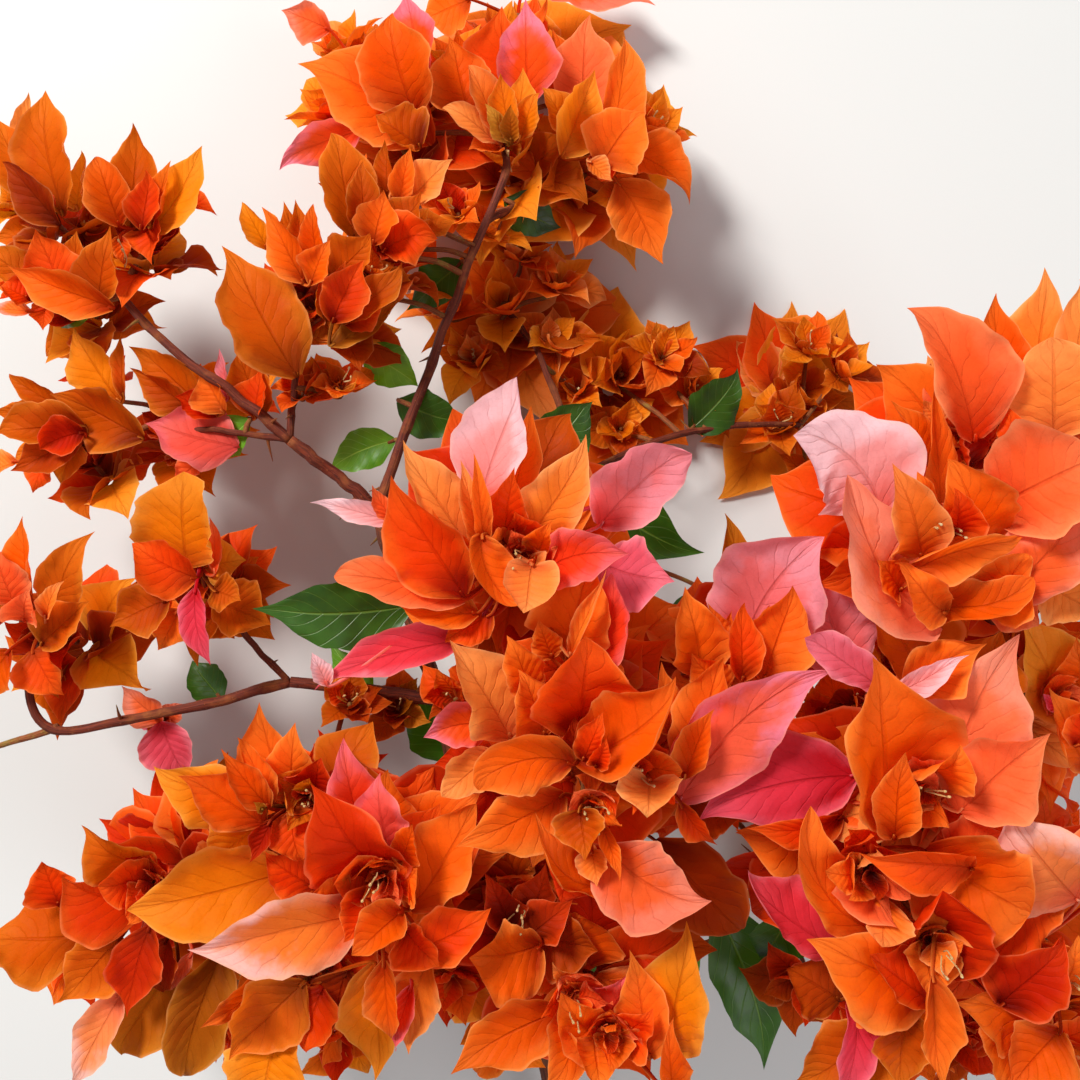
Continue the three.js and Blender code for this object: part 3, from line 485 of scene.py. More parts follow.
class Bunch:
    """Gathers grids that become one joined piece."""

    def __init__(self):
        self.grids = []

    def add(self, points, uv, material, tint, rank=-1):
        self.grids.append((points, uv, material, tint, rank))

    def build(self, name, materials, slot_name, smooth=True):
        verts, faces, uvs, cells, mats, tints = [], [], [], [], [], []
        count = len(self.grids)
        side = max(1, math.ceil(math.sqrt(count)))
        start = 0
        for g, (points, uv, material, tint, rank) in enumerate(self.grids):
            rows, cols = points.shape[:2]
            index = np.arange(rows * cols).reshape(rows, cols) + start
            a, b, c, d = index[:-1, :-1], index[:-1, 1:], index[1:, 1:], index[1:, :-1]
            quad = np.stack([a, b, c, d], -1).reshape(-1, 4)
            verts.append(points.reshape(-1, 3))
            faces.append(quad)
            flat = uv.reshape(-1, 2)
            uvs.append(flat[quad.reshape(-1) - start])
            cx, cy = g % side, g // side
            inset = 0.04
            cell = (np.array([cx, cy]) + inset + flat * (1 - 2 * inset)) / side
            cells.append(cell[quad.reshape(-1) - start])
            mats.append(np.full(len(quad), material))
            tints.append(np.full(rows * cols, tint))
            start += rows * cols
        verts = np.concatenate(verts)
        faces = np.concatenate(faces)
        verts[:, 2] = np.where(verts[:, 2] < 0.004, 0.0006 + 0.0034 * np.exp((verts[:, 2] - 0.004) / 0.006), verts[:, 2])
        mesh = bpy.data.meshes.new(name)
        mesh.vertices.add(len(verts))
        mesh.vertices.foreach_set("co", verts.astype(np.float32).ravel())
        mesh.loops.add(faces.size)
        mesh.loops.foreach_set("vertex_index", faces.astype(np.int32).ravel())
        mesh.polygons.add(len(faces))
        mesh.polygons.foreach_set("loop_start", np.arange(0, faces.size, 4, dtype=np.int32))
        mesh.polygons.foreach_set("material_index", np.concatenate(mats).astype(np.int32))
        mesh.polygons.foreach_set("use_smooth", np.full(len(faces), smooth))
        mesh.update(calc_edges=True)
        for layer, data in (("UVMap", uvs), ("OFBake", cells)):
            made = mesh.uv_layers.new(name=layer)
            made.data.foreach_set("uv", np.concatenate(data).astype(np.float32).ravel())
        field = mesh.attributes.new("tint", "FLOAT", "POINT")
        field.data.foreach_set("value", np.concatenate(tints).astype(np.float32))
        mesh.validate()
        for m in materials:
            mesh.materials.append(m)
        piece = bpy.data.objects.new(name, mesh)
        bpy.context.collection.objects.link(piece)
        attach(piece, "root")
        return piece


def tube(points, radii, sides, relief=0.0, seed=0, cap=True):
    """A limb as a grid: rings along the points, closed round and capped at its ends."""
    points = np.asarray(points, float)
    tang = np.gradient(points, axis=0)
    tang /= np.maximum(np.linalg.norm(tang, axis=1), 1e-9)[:, None]
    normal = np.zeros_like(points)
    ref = unit(np.cross(tang[0], [0.13, 0.31, 0.94]))
    for i in range(len(points)):
        ref = unit(ref - ref.dot(tang[i]) * tang[i])
        normal[i] = ref
    other = np.cross(tang, normal)
    ang = np.linspace(0, 2 * np.pi, sides + 1)
    rng = np.random.default_rng(seed)
    r = np.asarray(radii, float)[:, None] * np.ones(sides + 1)
    if relief:
        phase = rng.random(6) * 6.28
        row = np.arange(len(points))[:, None]
        ridges = sum(np.sin(ang[None] * k + phase[i] + row * (0.07 + 0.05 * i)) for i, k in enumerate((3, 4, 5))) / 3
        rough = rng.normal(0, 1, (len(points), sides))
        rough = (rough + np.roll(rough, 1, 0) + np.roll(rough, 1, 1)) / 3
        rough = np.concatenate([rough, rough[:, :1]], 1)
        r = r * (1 + relief * (0.8 * ridges + 0.55 * rough))
        r[:, -1] = r[:, 0]
    grid = points[:, None] + r[..., None] * (np.cos(ang)[None, :, None] * normal[:, None] + np.sin(ang)[None, :, None] * other[:, None])
    if cap:
        grid = np.concatenate([np.repeat(points[:1, None], sides + 1, 1), grid, np.repeat(points[-1:, None], sides + 1, 1)])
    rows = len(grid)
    uv = np.stack(np.broadcast_arrays(ang / (2 * np.pi), np.linspace(0, 1, rows)[:, None]), -1)
    return grid[:, ::-1], uv[:, ::-1]


def curve_through(nodes, step):
    """Centripetal Catmull-Rom through the nodes, one point about every step metres."""
    p = [np.asarray(n, float) for n in nodes]
    if len(p) == 2:
        n = max(2, int(np.linalg.norm(p[1] - p[0]) / step) + 1)
        return np.array([p[0] + (p[1] - p[0]) * i / (n - 1) for i in range(n)])
    p = [2 * p[0] - p[1]] + p + [2 * p[-1] - p[-2]]
    out = []
    for i in range(1, len(p) - 2):
        p0, p1, p2, p3 = p[i - 1:i + 3]
        t0 = 0.0
        t1 = t0 + np.linalg.norm(p1 - p0) ** 0.5
        t2 = t1 + np.linalg.norm(p2 - p1) ** 0.5
        t3 = t2 + np.linalg.norm(p3 - p2) ** 0.5
        n = max(3, int(np.linalg.norm(p2 - p1) / step) + 1)
        for t in np.linspace(t1, t2, n, endpoint=False):
            a1 = (t1 - t) / (t1 - t0) * p0 + (t - t0) / (t1 - t0) * p1
            a2 = (t2 - t) / (t2 - t1) * p1 + (t - t1) / (t2 - t1) * p2
            a3 = (t3 - t) / (t3 - t2) * p2 + (t - t2) / (t3 - t2) * p3
            b1 = (t2 - t) / (t2 - t0) * a1 + (t - t0) / (t2 - t0) * a2
            b2 = (t3 - t) / (t3 - t1) * a2 + (t - t1) / (t3 - t1) * a3
            out.append((t2 - t) / (t2 - t1) * b1 + (t - t1) / (t2 - t1) * b2)
    out.append(p[-2])
    return np.array(out)


# ------------------------------------------------------------------ limbs
LIMB_LINES = []
for i, (name, nodes, r0, r1, into) in enumerate(LIMBS):
    pts = [at(*n) for n in nodes]
    if into:
        pts.append(CENTRE[into] - AXIS[into] * HEART[into] * 0.62)
    line = curve_through(pts, 0.0022)
    rng = np.random.default_rng(5100 + i)
    length = np.linalg.norm(np.diff(line, axis=0), axis=1).sum()
    far = np.concatenate([[0], np.cumsum(np.linalg.norm(np.diff(line, axis=0), axis=1))])
    radius = (r0 + (r1 - r0) * far / length) / 1000
    # joints every 20 to 32 mm, each a slight swelling
    knots, x = [], 0.008
    while x < length - 0.006:
        knots.append(x)
        x += rng.uniform(0.019, 0.032)
    swell = sum(np.exp(-((far - k) / 0.0022) ** 2) for k in knots) if knots else 0
    radius = radius * (1 + 0.15 * swell)
    wander = np.stack([np.interp(far, np.linspace(0, length, 12), rng.normal(0, 0.0003, 12)) for _ in range(3)], 1)
    ends = np.clip(np.minimum(far, length - far) / 0.012, 0, 1)[:, None]
    line = line + wander * ends
    line[:, 2] = np.maximum(line[:, 2], radius * 1.0 + 0.0002)
    bunch = Bunch()
    bunch.add(*tube(line, radius, 14 if r0 > 2 else 10, 0.05, 5200 + i), 0, 0.5)
    piece = bunch.build("bark_" + name, [BARK if r0 > 2.8 else BARK_YOUNG], "bark")
    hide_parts(name)
    LIMB_LINES.append((name, line, radius, far, knots))

ALL_LINE = np.concatenate([l[1] for l in LIMB_LINES])
ALL_RADIUS = np.concatenate([l[2] for l in LIMB_LINES])

# ------------------------------------------------------------------ blooms
# Bracts that show, one by one. Per bloom: colour, foot (across, down, height over the bloom's own), tip
# (the same), width in view units, then any of: f (lean of the upper side), b bow, c curl, k cup, kt cup at
# the tip, t twist, l lean, w wave, n waves, s sway to its own right, wa widest place, sh sharper tip,
# cr how uneven its face and margin are
SHOWN = {
    "bloom_center_top": [
        ("pink_pale", 328, 686, -11, 311, 652, -8, 22, dict(k=.3, t=0, l=0)),
        ("pink_pale", 480, 508, -18, 522, 380, -2, 84, dict(l=0, c=.4, k=.4, s=-.12, sh=-.6, f=(-.3, .3), cr=.9)),
        ("orange", 503, 520, -14, 531, 402, -2, 44, dict(k=.4, s=.15)),
        ("light_orange", 470, 548, -10, 398, 443, 0, 64, dict(b=.15, c=-.2, k=.35, l=.15)),
        ("orange", 484, 550, -6, 474, 450, 6, 22, dict(k=.9)),
        ("light_orange", 478, 545, -8, 462, 462, 0, 30, dict(k=.7)),
        ("red_orange", 502, 540, -6, 514, 470, 8, 50, dict(k=.5)),
        ("light_orange", 520, 545, -8, 591, 436, 2, 68, dict(s=.18, b=.1, k=.35, c=-.15)),
        ("pink", 600, 526, -24, 690, 448, -8, 76, dict(s=-.2, k=.3, c=.5, t=-.35, l=-.15, sh=-.8)),
        ("crimson", 606, 505, -24, 626, 533, -22, 26, dict(k=.4)),
        ("red_pink", 545, 572, -6, 627, 556, 4, 62, dict(s=-.5, b=.4, c=-.7, k=.5, w=.06)),
        ("rose", 600, 562, -16, 674, 578, -4, 84, dict(s=.3, k=.35, c=.3, t=.2)),
        ("orange", 566, 660, -14, 594, 556, -4, 82, dict(k=.3)),
        ("red_pink", 600, 668, -6, 612, 569, 6, 76, dict(s=.16, k=.5, b=.15)),
        ("light_orange", 570, 656, -2, 608, 572, 12, 22, dict(k=.9)),
        ("red_orange", 464, 596, -8, 386, 476, 4, 84, dict(k=.3, b=.2, c=.5)),
        ("orange", 470, 580, -10, 432, 512, 2, 40, dict(k=.6)),
        ("coral", 466, 599, -12, 329, 574, -4, 48, dict(k=.4, s=.1, sh=-.6)),
        ("orange", 478, 614, -14, 391, 601, -12, 46, dict(s=-.2)),
        ("red_orange", 492, 614, -16, 443, 642, -12, 42, {}),
        ("pink_pale", 396, 522, -14, 310, 499, -8, 25, dict(w=.22, n=1.5, k=.3)),
        ("coral", 392, 520, -12, 371, 486, -6, 20, {}),
        ("crimson", 466, 641, -16, 311, 684, -10, 46, dict(s=.16, k=.5, t=-.3, c=.4)),
        ("orange", 482, 536, 2, 524, 606, 8, 48, dict(k=.8, f=(.4, .2), s=.85, sh=-.6, t=0, l=0, cr=.6)),
        ("light_orange", 532, 566, 0, 526, 612, 14, 60, dict(k=.6, f=(0, .5), b=.5, c=.9, sh=-1, t=0, l=0, cr=.35)),
        ("orange", 536, 560, -6, 552, 520, 4, 34, dict(k=.9)),
    ],
    "bloom_center": [
        ("light_orange", 510, 738, -14, 447, 643, -4, 86, dict(k=.25, c=-.2, s=.1)),
        ("orange", 532, 694, -12, 507, 634, -2, 44, dict(k=.4)),
        ("orange", 552, 658, -12, 537, 619, -4, 32, dict(k=.4)),
        ("red_orange", 578, 740, -6, 590, 636, 8, 112, dict(k=.34, wa=.02, sh=-.25)),
        ("orange", 545, 735, -10, 520, 668, 0, 58, dict(k=.5)),
        ("orange", 574, 760, -6, 680, 681, 12, 92, dict(k=.95, s=.40, b=-.1, c=.3, l=.2, t=.15)),
        ("orange", 573, 764, -4, 474, 788, -4, 66, dict(s=.85, k=.55, c=-.8, b=.6, sh=-.3)),
        ("light_orange", 494, 752, -12, 441, 798, -8, 46, dict(k=.4, sh=-.5)),
        ("red_orange", 584, 760, -2, 604, 713, 8, 34, dict(k=.9)),
        ("deep", 590, 772, -10, 606, 704, -2, 66, dict(k=.8)),
        ("deep", 572, 775, -12, 574, 716, -6, 50, dict(k=.6)),
        ("orange_pink", 494, 728, -20, 426, 738, -18, 50, dict(s=.6, k=.35, c=-.6)),
        ("ember", 500, 765, -30, 434, 762, -30, 56, {}),
        ("red_orange", 596, 766, 0, 608, 738, 8, 26, dict(k=.9)),
    ],
    "bloom_center_right": [
        ("orange", 692, 775, -10, 722, 652, 2, 70, dict(k=.3, t=.1)),
        ("orange", 672, 735, -16, 660, 662, -6, 38, dict(k=.4)),
        ("orange", 684, 778, -4, 711, 711, 8, 38, dict(k=.6)),
        ("orange_pink", 678, 801, -8, 831, 664, 8, 94, dict(k=.25, kt=.5, c=.1, l=-.15, s=-.28, t=0)),
        ("red_orange", 680, 802, -4, 716, 843, -12, 28, dict(w=.08, s=.3)),
        ("light_orange", 650, 782, -2, 648, 818, 10, 66, dict(k=.9, f=(0, .5))),
        ("red_orange", 664, 782, -4, 676, 806, 8, 40, dict(k=.9, f=(-.4, .2))),
        ("rust_and_shade", 690, 800, -20, 748, 815, -18, 50, {}),
    ],
    "bloom_center_low": [
        ("orange", 564, 794, -12, 456, 842, -4, 70, dict(k=.2, c=-.2, s=-.1)),
        ("orange", 612, 888, -10, 537, 813, 6, 56, dict(s=-.95, k=.6, b=-.2, l=-.35, f=(.3, .3), t=0)),
        ("burnt", 580, 810, 0, 587, 861, 10, 58, dict(k=.4, wa=.08, f=(0, .35))),
        ("orange", 602, 824, -2, 622, 881, 6, 20, dict(k=.9)),
        ("light_orange", 592, 850, -6, 598, 886, 2, 36, dict(k=.6)),
        ("ember", 568, 852, -10, 562, 904, 2, 86, dict(k=1.0, sh=-.9, f=(0, .5))),
        ("coral_pink", 606, 846, -10, 712, 906, 2, 92, dict(s=.42, k=.35, c=.3, t=.1)),
        # two rust bracts low behind the bloom: their darker colour is partly painted shade
        ("rust_and_shade", 655, 840, -50, 746, 935, -60, 86, dict(k=.3)),
        ("rust_and_shade", 650, 858, -56, 690, 950, -60, 60, dict(k=.3)),
    ],
    "bloom_upright_right": [
        ("pink", 744, 646, -20, 824, 533, -8, 124, dict(k=.3, c=-.3, s=-.3, l=.1, t=.1)),
        ("olive", 742, 612, -34, 729, 513, -22, 44, dict(k=.3)),
        ("orange", 704, 676, -6, 681, 588, 4, 64, dict(k=.5)),
        ("orange", 722, 652, -4, 710, 605, 6, 30, dict(k=.5)),
        ("red_orange", 742, 680, -2, 742, 600, 8, 38, dict(k=.55)),
        ("orange", 764, 680, -4, 797, 585, 6, 74, dict(k=.5, b=.1)),
        ("red_orange", 755, 660, -8, 768, 604, 0, 36, dict(k=.5)),
        ("orange", 724, 690, -8, 690, 655, 0, 46, dict(k=.6)),
        ("pink", 850, 672, -22, 814, 576, -16, 84, dict(k=.3, sh=-.7)),
        ("coral_pink", 850, 660, -24, 858, 616, -24, 40, dict(k=.3)),
    ],
    "bloom_right_upper": [
        ("burnt", 930, 705, -34, 866, 592, -30, 96, dict(k=.3)),
        ("burnt", 965, 695, -36, 1004, 632, -32, 86, dict(k=.3)),
        ("pink_pale", 882, 514, -14, 797, 431, 0, 116, dict(s=.62, k=.25, c=.35, b=.1, l=.1, t=0, sh=-.35, f=(-.25, .3))),
        ("coral_pink", 944, 622, -10, 848, 478, -4, 122, dict(s=-.66, k=.40, b=-.1, l=-.2, t=0, sh=-.4)),
        ("light_orange", 922, 556, -4, 890, 464, 12, 62, dict(k=.7, c=-.4)),
        ("orange", 944, 545, -4, 916, 470, 4, 52, dict(k=.6)),
        ("red_orange", 955, 534, -4, 957, 487, 8, 48, dict(k=.9)),
        ("orange", 992, 556, -6, 952, 458, 6, 84, dict(k=.5, sh=-.2)),
        ("coral", 996, 510, -2, 1098, 456, 8, 118, dict(k=.35, s=-.1, sh=-.5)),
        ("coral_pink", 1006, 600, -10, 1088, 502, 2, 76, dict(k=.3)),
        ("orange", 912, 574, -2, 1026, 541, 8, 46, dict(k=.5, s=-.6, f=(0, -.7), sh=-.5, t=0, l=0)),
        ("orange", 928, 602, -8, 1034, 576, 4, 50, dict(k=.55, s=.85, f=(0, .45), sh=-.8, c=.3, b=.2, t=0, l=0)),
        ("orange", 946, 612, -8, 902, 562, 6, 46, dict(s=-.4, k=.7, sh=-.8)),
        ("orange", 988, 602, -8, 1026, 552, 4, 66, dict(s=.45, k=.8, sh=-.6)),
        ("deep", 962, 612, -14, 962, 558, -8, 84, dict(k=.6, sh=-.8, t=0, l=0)),
        ("light_orange", 1036, 578, -14, 1096, 612, -8, 64, dict(k=.3, sh=-.5)),
        ("coral", 1000, 600, -10, 1040, 625, -6, 50, dict(k=.4)),
        ("orange", 900, 590, -8, 880, 560, 4, 50, dict(k=.6)),
    ],
    "bloom_right_top": [
        ("coral", 974, 440, -4, 912, 304, 4, 94, dict(k=.4, s=.16, c=-.3, wa=.05, sh=-.45)),
        ("orange", 1002, 405, -14, 993, 294, -4, 60, dict(k=.35)),
        ("light_orange", 1030, 405, -18, 1051, 268, -4, 74, dict(k=.35)),
        ("light_orange", 1066, 405, -14, 1084, 274, -4, 66, dict(k=.35)),
        ("light_orange", 1054, 436, -4, 1052, 338, 6, 96, dict(k=.3, sh=-.8)),
        ("orange", 938, 522, -6, 932, 382, 4, 48, dict(k=.4)),
        ("orange", 928, 468, -6, 889, 402, 4, 42, dict(k=.5)),
        ("light_orange", 940, 425, -10, 923, 399, -4, 24, {}),
        ("ember", 970, 465, -12, 960, 420, -4, 50, dict(k=.7)),
        ("red_orange", 1012, 460, -8, 1010, 405, 0, 40, dict(k=.6)),
    ],
    "bloom_low_right_b": [
        ("coral_pink", 948, 792, -12, 1023, 632, 0, 128, dict(k=.3, s=-.16, wa=.08, t=0)),
        ("orange", 894, 828, -6, 881, 655, 14, 148, dict(k=.45, sh=0, c=.3, t=0, l=0, wa=.02)),
        ("rose", 884, 690, -8, 804, 634, 2, 42, dict(w=.08, n=1.6, k=.5, sh=-.8, wa=-.16)),
        ("pink_pale", 884, 694, -6, 967, 654, 4, 30, dict(w=.14, n=1.4, k=.5, s=.2)),
        ("orange", 905, 694, -12, 987, 646, -6, 64, dict(s=-.4, k=.4)),
        ("orange", 894, 838, -2, 910, 754, 12, 50, dict(k=.9, s=-.1, t=0)),
        ("coral", 960, 812, -6, 1050, 737, 4, 96, dict(k=.3, s=-.1)),
        ("orange", 935, 790, -4, 962, 745, 6, 60, dict(k=.6)),
    ],
    "bloom_low_right_a": [
        ("magenta", 856, 776, -20, 695, 814, -18, 98, dict(s=.19, k=.12, c=-.2, b=.1, f=(-.2, .2), t=0, l=0)),
        ("red_orange", 842, 816, -20, 748, 824, -12, 36, dict(s=-.2)),
        ("orange", 872, 930, -8, 805, 806, 2, 60, dict(k=.6, s=-.7, b=-.2, f=(.35, .1), sh=-.7, t=0, l=0)),
        ("red_orange", 972, 868, -4, 858, 858, 10, 54, dict(k=.95, b=.3, s=.2, t=0)),
        ("orange", 925, 850, -4, 1032, 915, 4, 122, dict(k=.3, s=.1, sh=-.9)),
        ("coral", 950, 850, -10, 1010, 835, 2, 70, dict(k=.4)),
        ("orange", 866, 880, -2, 823, 872, 8, 38, dict(k=.8)),
        ("light_orange", 888, 904, -2, 884, 948, 10, 44, dict(k=.6, f=(0, .5), sh=-.9, c=.5)),
        ("crimson", 838, 950, -18, 741, 873, -8, 76, dict(s=-.15, k=.3)),
        ("red_orange", 868, 850, -4, 850, 830, 4, 50, dict(k=.9)),
    ],
    "bloom_low_right_c": [
        ("ember", 946, 978, -8, 937, 889, 6, 84, dict(k=.75, sh=-1, c=.5, b=.3, kt=1.3, t=0, l=0)),
        ("orange", 930, 994, -8, 808, 934, 2, 96, dict(k=.35, s=-.1, t=0)),
        ("red_orange", 930, 1002, -2, 866, 951, 8, 52, dict(k=.9)),
        ("magenta", 862, 972, -10, 838, 1098, -8, 54, dict(k=.35, sh=-.2)),
        ("ember", 1000, 1004, -6, 1068, 940, 4, 76, dict(k=.5)),
        ("burnt", 905, 1010, -6, 900, 1090, 0, 70, dict(k=.4)),
        ("orange", 932, 975, 0, 946, 1092, 6, 46, dict(k=.9, s=.1)),
        ("burnt", 880, 1030, -20, 800, 1080, -24, 84, dict(k=.3)),
        ("rust_and_shade", 840, 1000, -26, 786, 966, -26, 70, dict(k=.3)),
        ("orange", 870, 1010, -10, 838, 985, -4, 50, dict(k=.4)),
    ],
    "bloom_low_right_d": [
        ("peach", 1078, 900, -2, 1001, 805, 14, 104, dict(k=.35, s=-.12, c=-.2)),
        ("orange", 1042, 1042, -4, 953, 1000, 6, 74, dict(k=.5, s=.3)),
        ("orange", 1060, 990, -2, 1075, 935, 8, 60, dict(k=.7)),
        ("red_orange", 1052, 880, -8, 984, 968, 0, 62, dict(s=.3, k=.8, sh=-.5)),
        ("ember", 1022, 992, 0, 1062, 938, 10, 52, dict(k=.5)),
        ("orange", 1018, 995, -6, 1004, 1098, 0, 84, dict(k=.5)),
        ("red_orange", 1040, 980, -2, 1022, 955, 6, 50, dict(k=.8)),
        ("coral", 1090, 900, -12, 1100, 790, -6, 80, dict(k=.3)),
        ("orange", 1060, 1030, -2, 1010, 1090, 4, 80, dict(k=.5)),
    ],
    "bloom_right_edge": [
        ("amber", 1078, 722, -10, 1020, 612, 4, 84, dict(k=.3)),
        ("orange", 1085, 770, -6, 1046, 690, 6, 64, dict(k=.4)),
        ("orange", 1090, 700, -6, 1075, 640, 4, 60, dict(k=.4)),
        ("magenta", 1060, 712, 2, 1042, 694, 10, 16, dict(w=.2)),
        ("red_orange", 1075, 745, 0, 1100, 700, 8, 60, dict(k=.5)),
    ],
    "bloom_low_left_a": [
        ("peach", 366, 916, -2, 191, 956, 8, 90, dict(k=.22, s=.15, c=-.15, t=0)),
        ("ember", 380, 896, -4, 317, 782, 8, 98, dict(k=.25, s=.12)),
        ("red_pink", 364, 836, -14, 342, 737, -4, 58, dict(k=.3)),
        ("red_pink", 388, 852, -10, 378, 772, 0, 62, dict(k=.35, w=.08, n=3)),
        ("orange", 402, 862, -6, 413, 826, 4, 40, dict(k=.5)),
        ("light_orange", 430, 955, -8, 404, 1054, -12, 56, dict(k=.7, t=.4, s=.15)),
        ("red_pink", 412, 985, -12, 393, 1050, -14, 26, dict(k=.5)),
        ("orange", 384, 960, -10, 392, 1042, -14, 44, dict(k=.5)),
        ("orange", 410, 910, -12, 475, 799, -8, 80, dict(k=.35, s=.12, sh=-.2)),
        ("red_orange", 414, 952, -10, 494, 911, -6, 60, dict(k=.5, s=.1)),
        ("red_orange", 374, 902, 0, 345, 944, 10, 46, dict(k=.6, f=(.2, .4))),
        ("orange", 402, 912, 0, 352, 958, 10, 50, dict(k=.8)),
        ("orange", 398, 900, -2, 418, 870, 6, 40, dict(k=.8)),
        ("orange", 350, 905, -2, 300, 900, 8, 60, dict(k=.4)),
        ("red_orange", 405, 930, -6, 440, 965, 0, 50, dict(k=.6)),
    ],
    "bloom_low_left_b": [
        ("amber", 264, 818, -6, 152, 771, 2, 70, dict(k=.3, s=.1)),
        ("orange", 264, 824, 0, 181, 775, 8, 54, dict(k=.5)),
        ("orange", 270, 808, 0, 220, 751, 8, 36, dict(k=.6)),
        ("orange", 272, 804, -4, 238, 734, 4, 36, dict(k=.6)),
        ("orange", 285, 804, -14, 256, 706, -8, 66, dict(k=.3)),
        ("orange", 292, 800, -12, 296, 722, -6, 54, dict(k=.4)),
        ("young", 262, 808, 4, 254, 803, 10, 12, dict(k=1.)),
        ("amber", 264, 820, -6, 214, 862, -4, 64, dict(k=.5, sh=-.6)),
        ("ember", 272, 820, 2, 251, 864, 4, 22, dict(k=.6)),
        ("red_orange", 290, 812, -2, 302, 862, -2, 52, dict(k=.4)),
        ("red_orange", 314, 888, -10, 264, 854, -4, 48, dict(k=.3)),
        ("amber", 292, 870, -12, 121, 909, 0, 96, dict(s=-.1, k=.25, c=-.15)),
    ],
    "bloom_far_left_low": [
        ("burnt", 142, 884, -6, 86, 823, 2, 60, dict(k=.4, s=.15)),
        ("red_orange", 142, 906, 0, 62, 874, 8, 64, dict(s=-.5, k=.9)),
        ("ember", 150, 888, -2, 118, 862, 4, 50, dict(k=.7)),
        ("burnt", 88, 938, -12, -18, 940, -6, 104, dict(k=.25)),
        ("burnt", 122, 936, -8, 60, 1004, -6, 66, dict(k=.4)),
        ("ember", 150, 926, -4, 124, 1016, -4, 54, dict(k=.5)),
        ("peach", 122, 992, -12, 76, 1084, -10, 46, dict(k=.6, t=.3)),
        ("olive", 178, 962, -20, 118, 1052, -24, 84, dict(k=.3)),
        ("rust_and_shade", 168, 938, -12, 162, 992, -14, 54, dict(k=.4)),
        ("coral_pink", 192, 952, -14, 171, 992, -10, 15, dict(k=.4)),
        ("olive", 222, 950, -16, 188, 1080, -24, 66, dict(k=.35)),
        ("red_orange", 60, 905, -10, 40, 860, -4, 50, dict(k=.4)),
    ],
    "bloom_bottom_left": [
        ("orange", 276, 985, 0, 200, 1024, 8, 44, dict(k=.5)),
        ("burnt", 304, 982, -4, 226, 1056, 2, 84, dict(k=.3)),
        ("red_orange", 322, 988, -6, 303, 1054, 0, 64, dict(k=.4)),
        ("rust_and_shade", 346, 972, -12, 330, 1030, -14, 74, dict(k=.4)),
        ("amber", 376, 962, -12, 380, 1080, -16, 64, dict(k=.35)),
        ("amber", 276, 1036, -6, 264, 1095, -4, 92, dict(k=.4, sh=-.6)),
    ],
    "bloom_bottom_inner": [
        ("orange", 540, 944, 0, 467, 955, 10, 92, dict(s=-.3, k=.4)),
        ("deep", 512, 930, -6, 487, 872, 2, 46, dict(k=.7)),
        ("deep", 530, 930, -8, 547, 866, 0, 50, dict(k=.6)),
        # a rust bract low at the side: its darker colour is partly painted shade
        ("rust_and_shade", 540, 935, -10, 598, 948, -6, 70, dict(k=.4)),
        ("deep", 525, 940, -6, 572, 902, 0, 52, dict(k=.5)),
        ("ember", 500, 935, -8, 430, 925, -2, 52, dict(k=.4)),
    ],
    "bloom_bottom": [
        ("amber", 668, 1050, -10, 693, 923, 0, 78, dict(k=.3)),
        ("orange", 650, 1058, -2, 631, 956, 8, 56, dict(k=.5)),
        ("red_pink", 604, 1030, -8, 636, 970, 2, 60, dict(k=.5)),
        ("orange", 562, 1010, -6, 451, 1075, 2, 70, dict(s=.18, k=.3)),
        ("orange", 588, 1002, -4, 545, 1092, 6, 64, dict(s=-.25, k=.4)),
        ("orange", 604, 1052, -2, 560, 988, 8, 62, dict(k=.8, s=-.2)),
        ("red_orange", 620, 1050, -2, 655, 1010, 8, 52, dict(k=.8)),
        ("orange", 673, 1100, 2, 670, 1018, 12, 38, dict(k=.6)),
        ("light_orange", 576, 1002, -2, 551, 964, 4, 28, dict(k=.6, c=.6)),
        ("orange", 594, 1038, -2, 600, 1090, 10, 76, dict(k=.7, f=(0, .5))),
    ],
    "bloom_left_top_a": [
        ("light_orange", 24, 152, -6, 29, 91, 2, 26, dict(k=.5)),
        ("burnt", 64, 215, -2, 51, 95, 6, 72, dict(k=.4, wa=-.04)),
        ("burnt", 34, 200, -6, -6, 116, 0, 54, dict(k=.4)),
        ("amber", 78, 210, -8, 84, 150, -2, 42, dict(k=.5)),
        ("rust_and_shade", 60, 225, 2, 6, 160, 6, 44, dict(k=.6)),
        ("ember", 52, 216, 0, 28, 180, 6, 34, dict(k=.8)),
    ],
    "bloom_left_top_b": [
        ("burnt", 132, 228, -4, 136, 121, 4, 56, dict(k=.4)),
        ("orange", 120, 226, 0, 95, 153, 8, 46, dict(k=.5)),
        ("red_orange", 142, 230, 4, 148, 170, 10, 38, dict(k=.7)),
        ("amber", 150, 228, -2, 200, 145, 6, 64, dict(s=.32, k=.5, c=.3)),
        ("burnt", 152, 226, 2, 172, 160, 8, 36, dict(k=.6)),
        ("red_orange", 152, 215, -2, 150, 264, -4, 46, dict(k=.5)),
        ("orange", 120, 236, -2, 124, 266, 0, 20, dict(k=.6)),
    ],
    "bloom_left_top_c": [
        ("red_orange", 66, 295, -2, 33, 229, 6, 58, dict(k=.4)),
        ("burnt", 72, 292, -6, 74, 232, 2, 48, dict(k=.4)),
        ("burnt", 98, 304, 0, 114, 228, 8, 54, dict(k=.6)),
        ("orange", 114, 308, 4, 9, 266, 8, 48, dict(k=.7, s=-.1)),
        ("burnt", 40, 292, -4, -14, 248, 0, 46, dict(k=.4)),
        ("red_orange", 45, 300, -4, 42, 330, -4, 28, dict(k=.5)),
        ("peach", 32, 312, -2, -16, 307, 0, 18, dict(k=.5)),
        ("red_orange", 30, 300, 0, 0, 285, 4, 34, dict(k=.6)),
    ],
    "bloom_left_mid_a": [
        ("burnt", 297, 377, -2, 228, 243, -2, 88, dict(k=.18, s=-.08)),
        ("amber", 268, 250, -2, 241, 200, 4, 26, dict(k=.6)),
        ("orange", 304, 282, 2, 264, 205, 8, 46, dict(k=.5)),
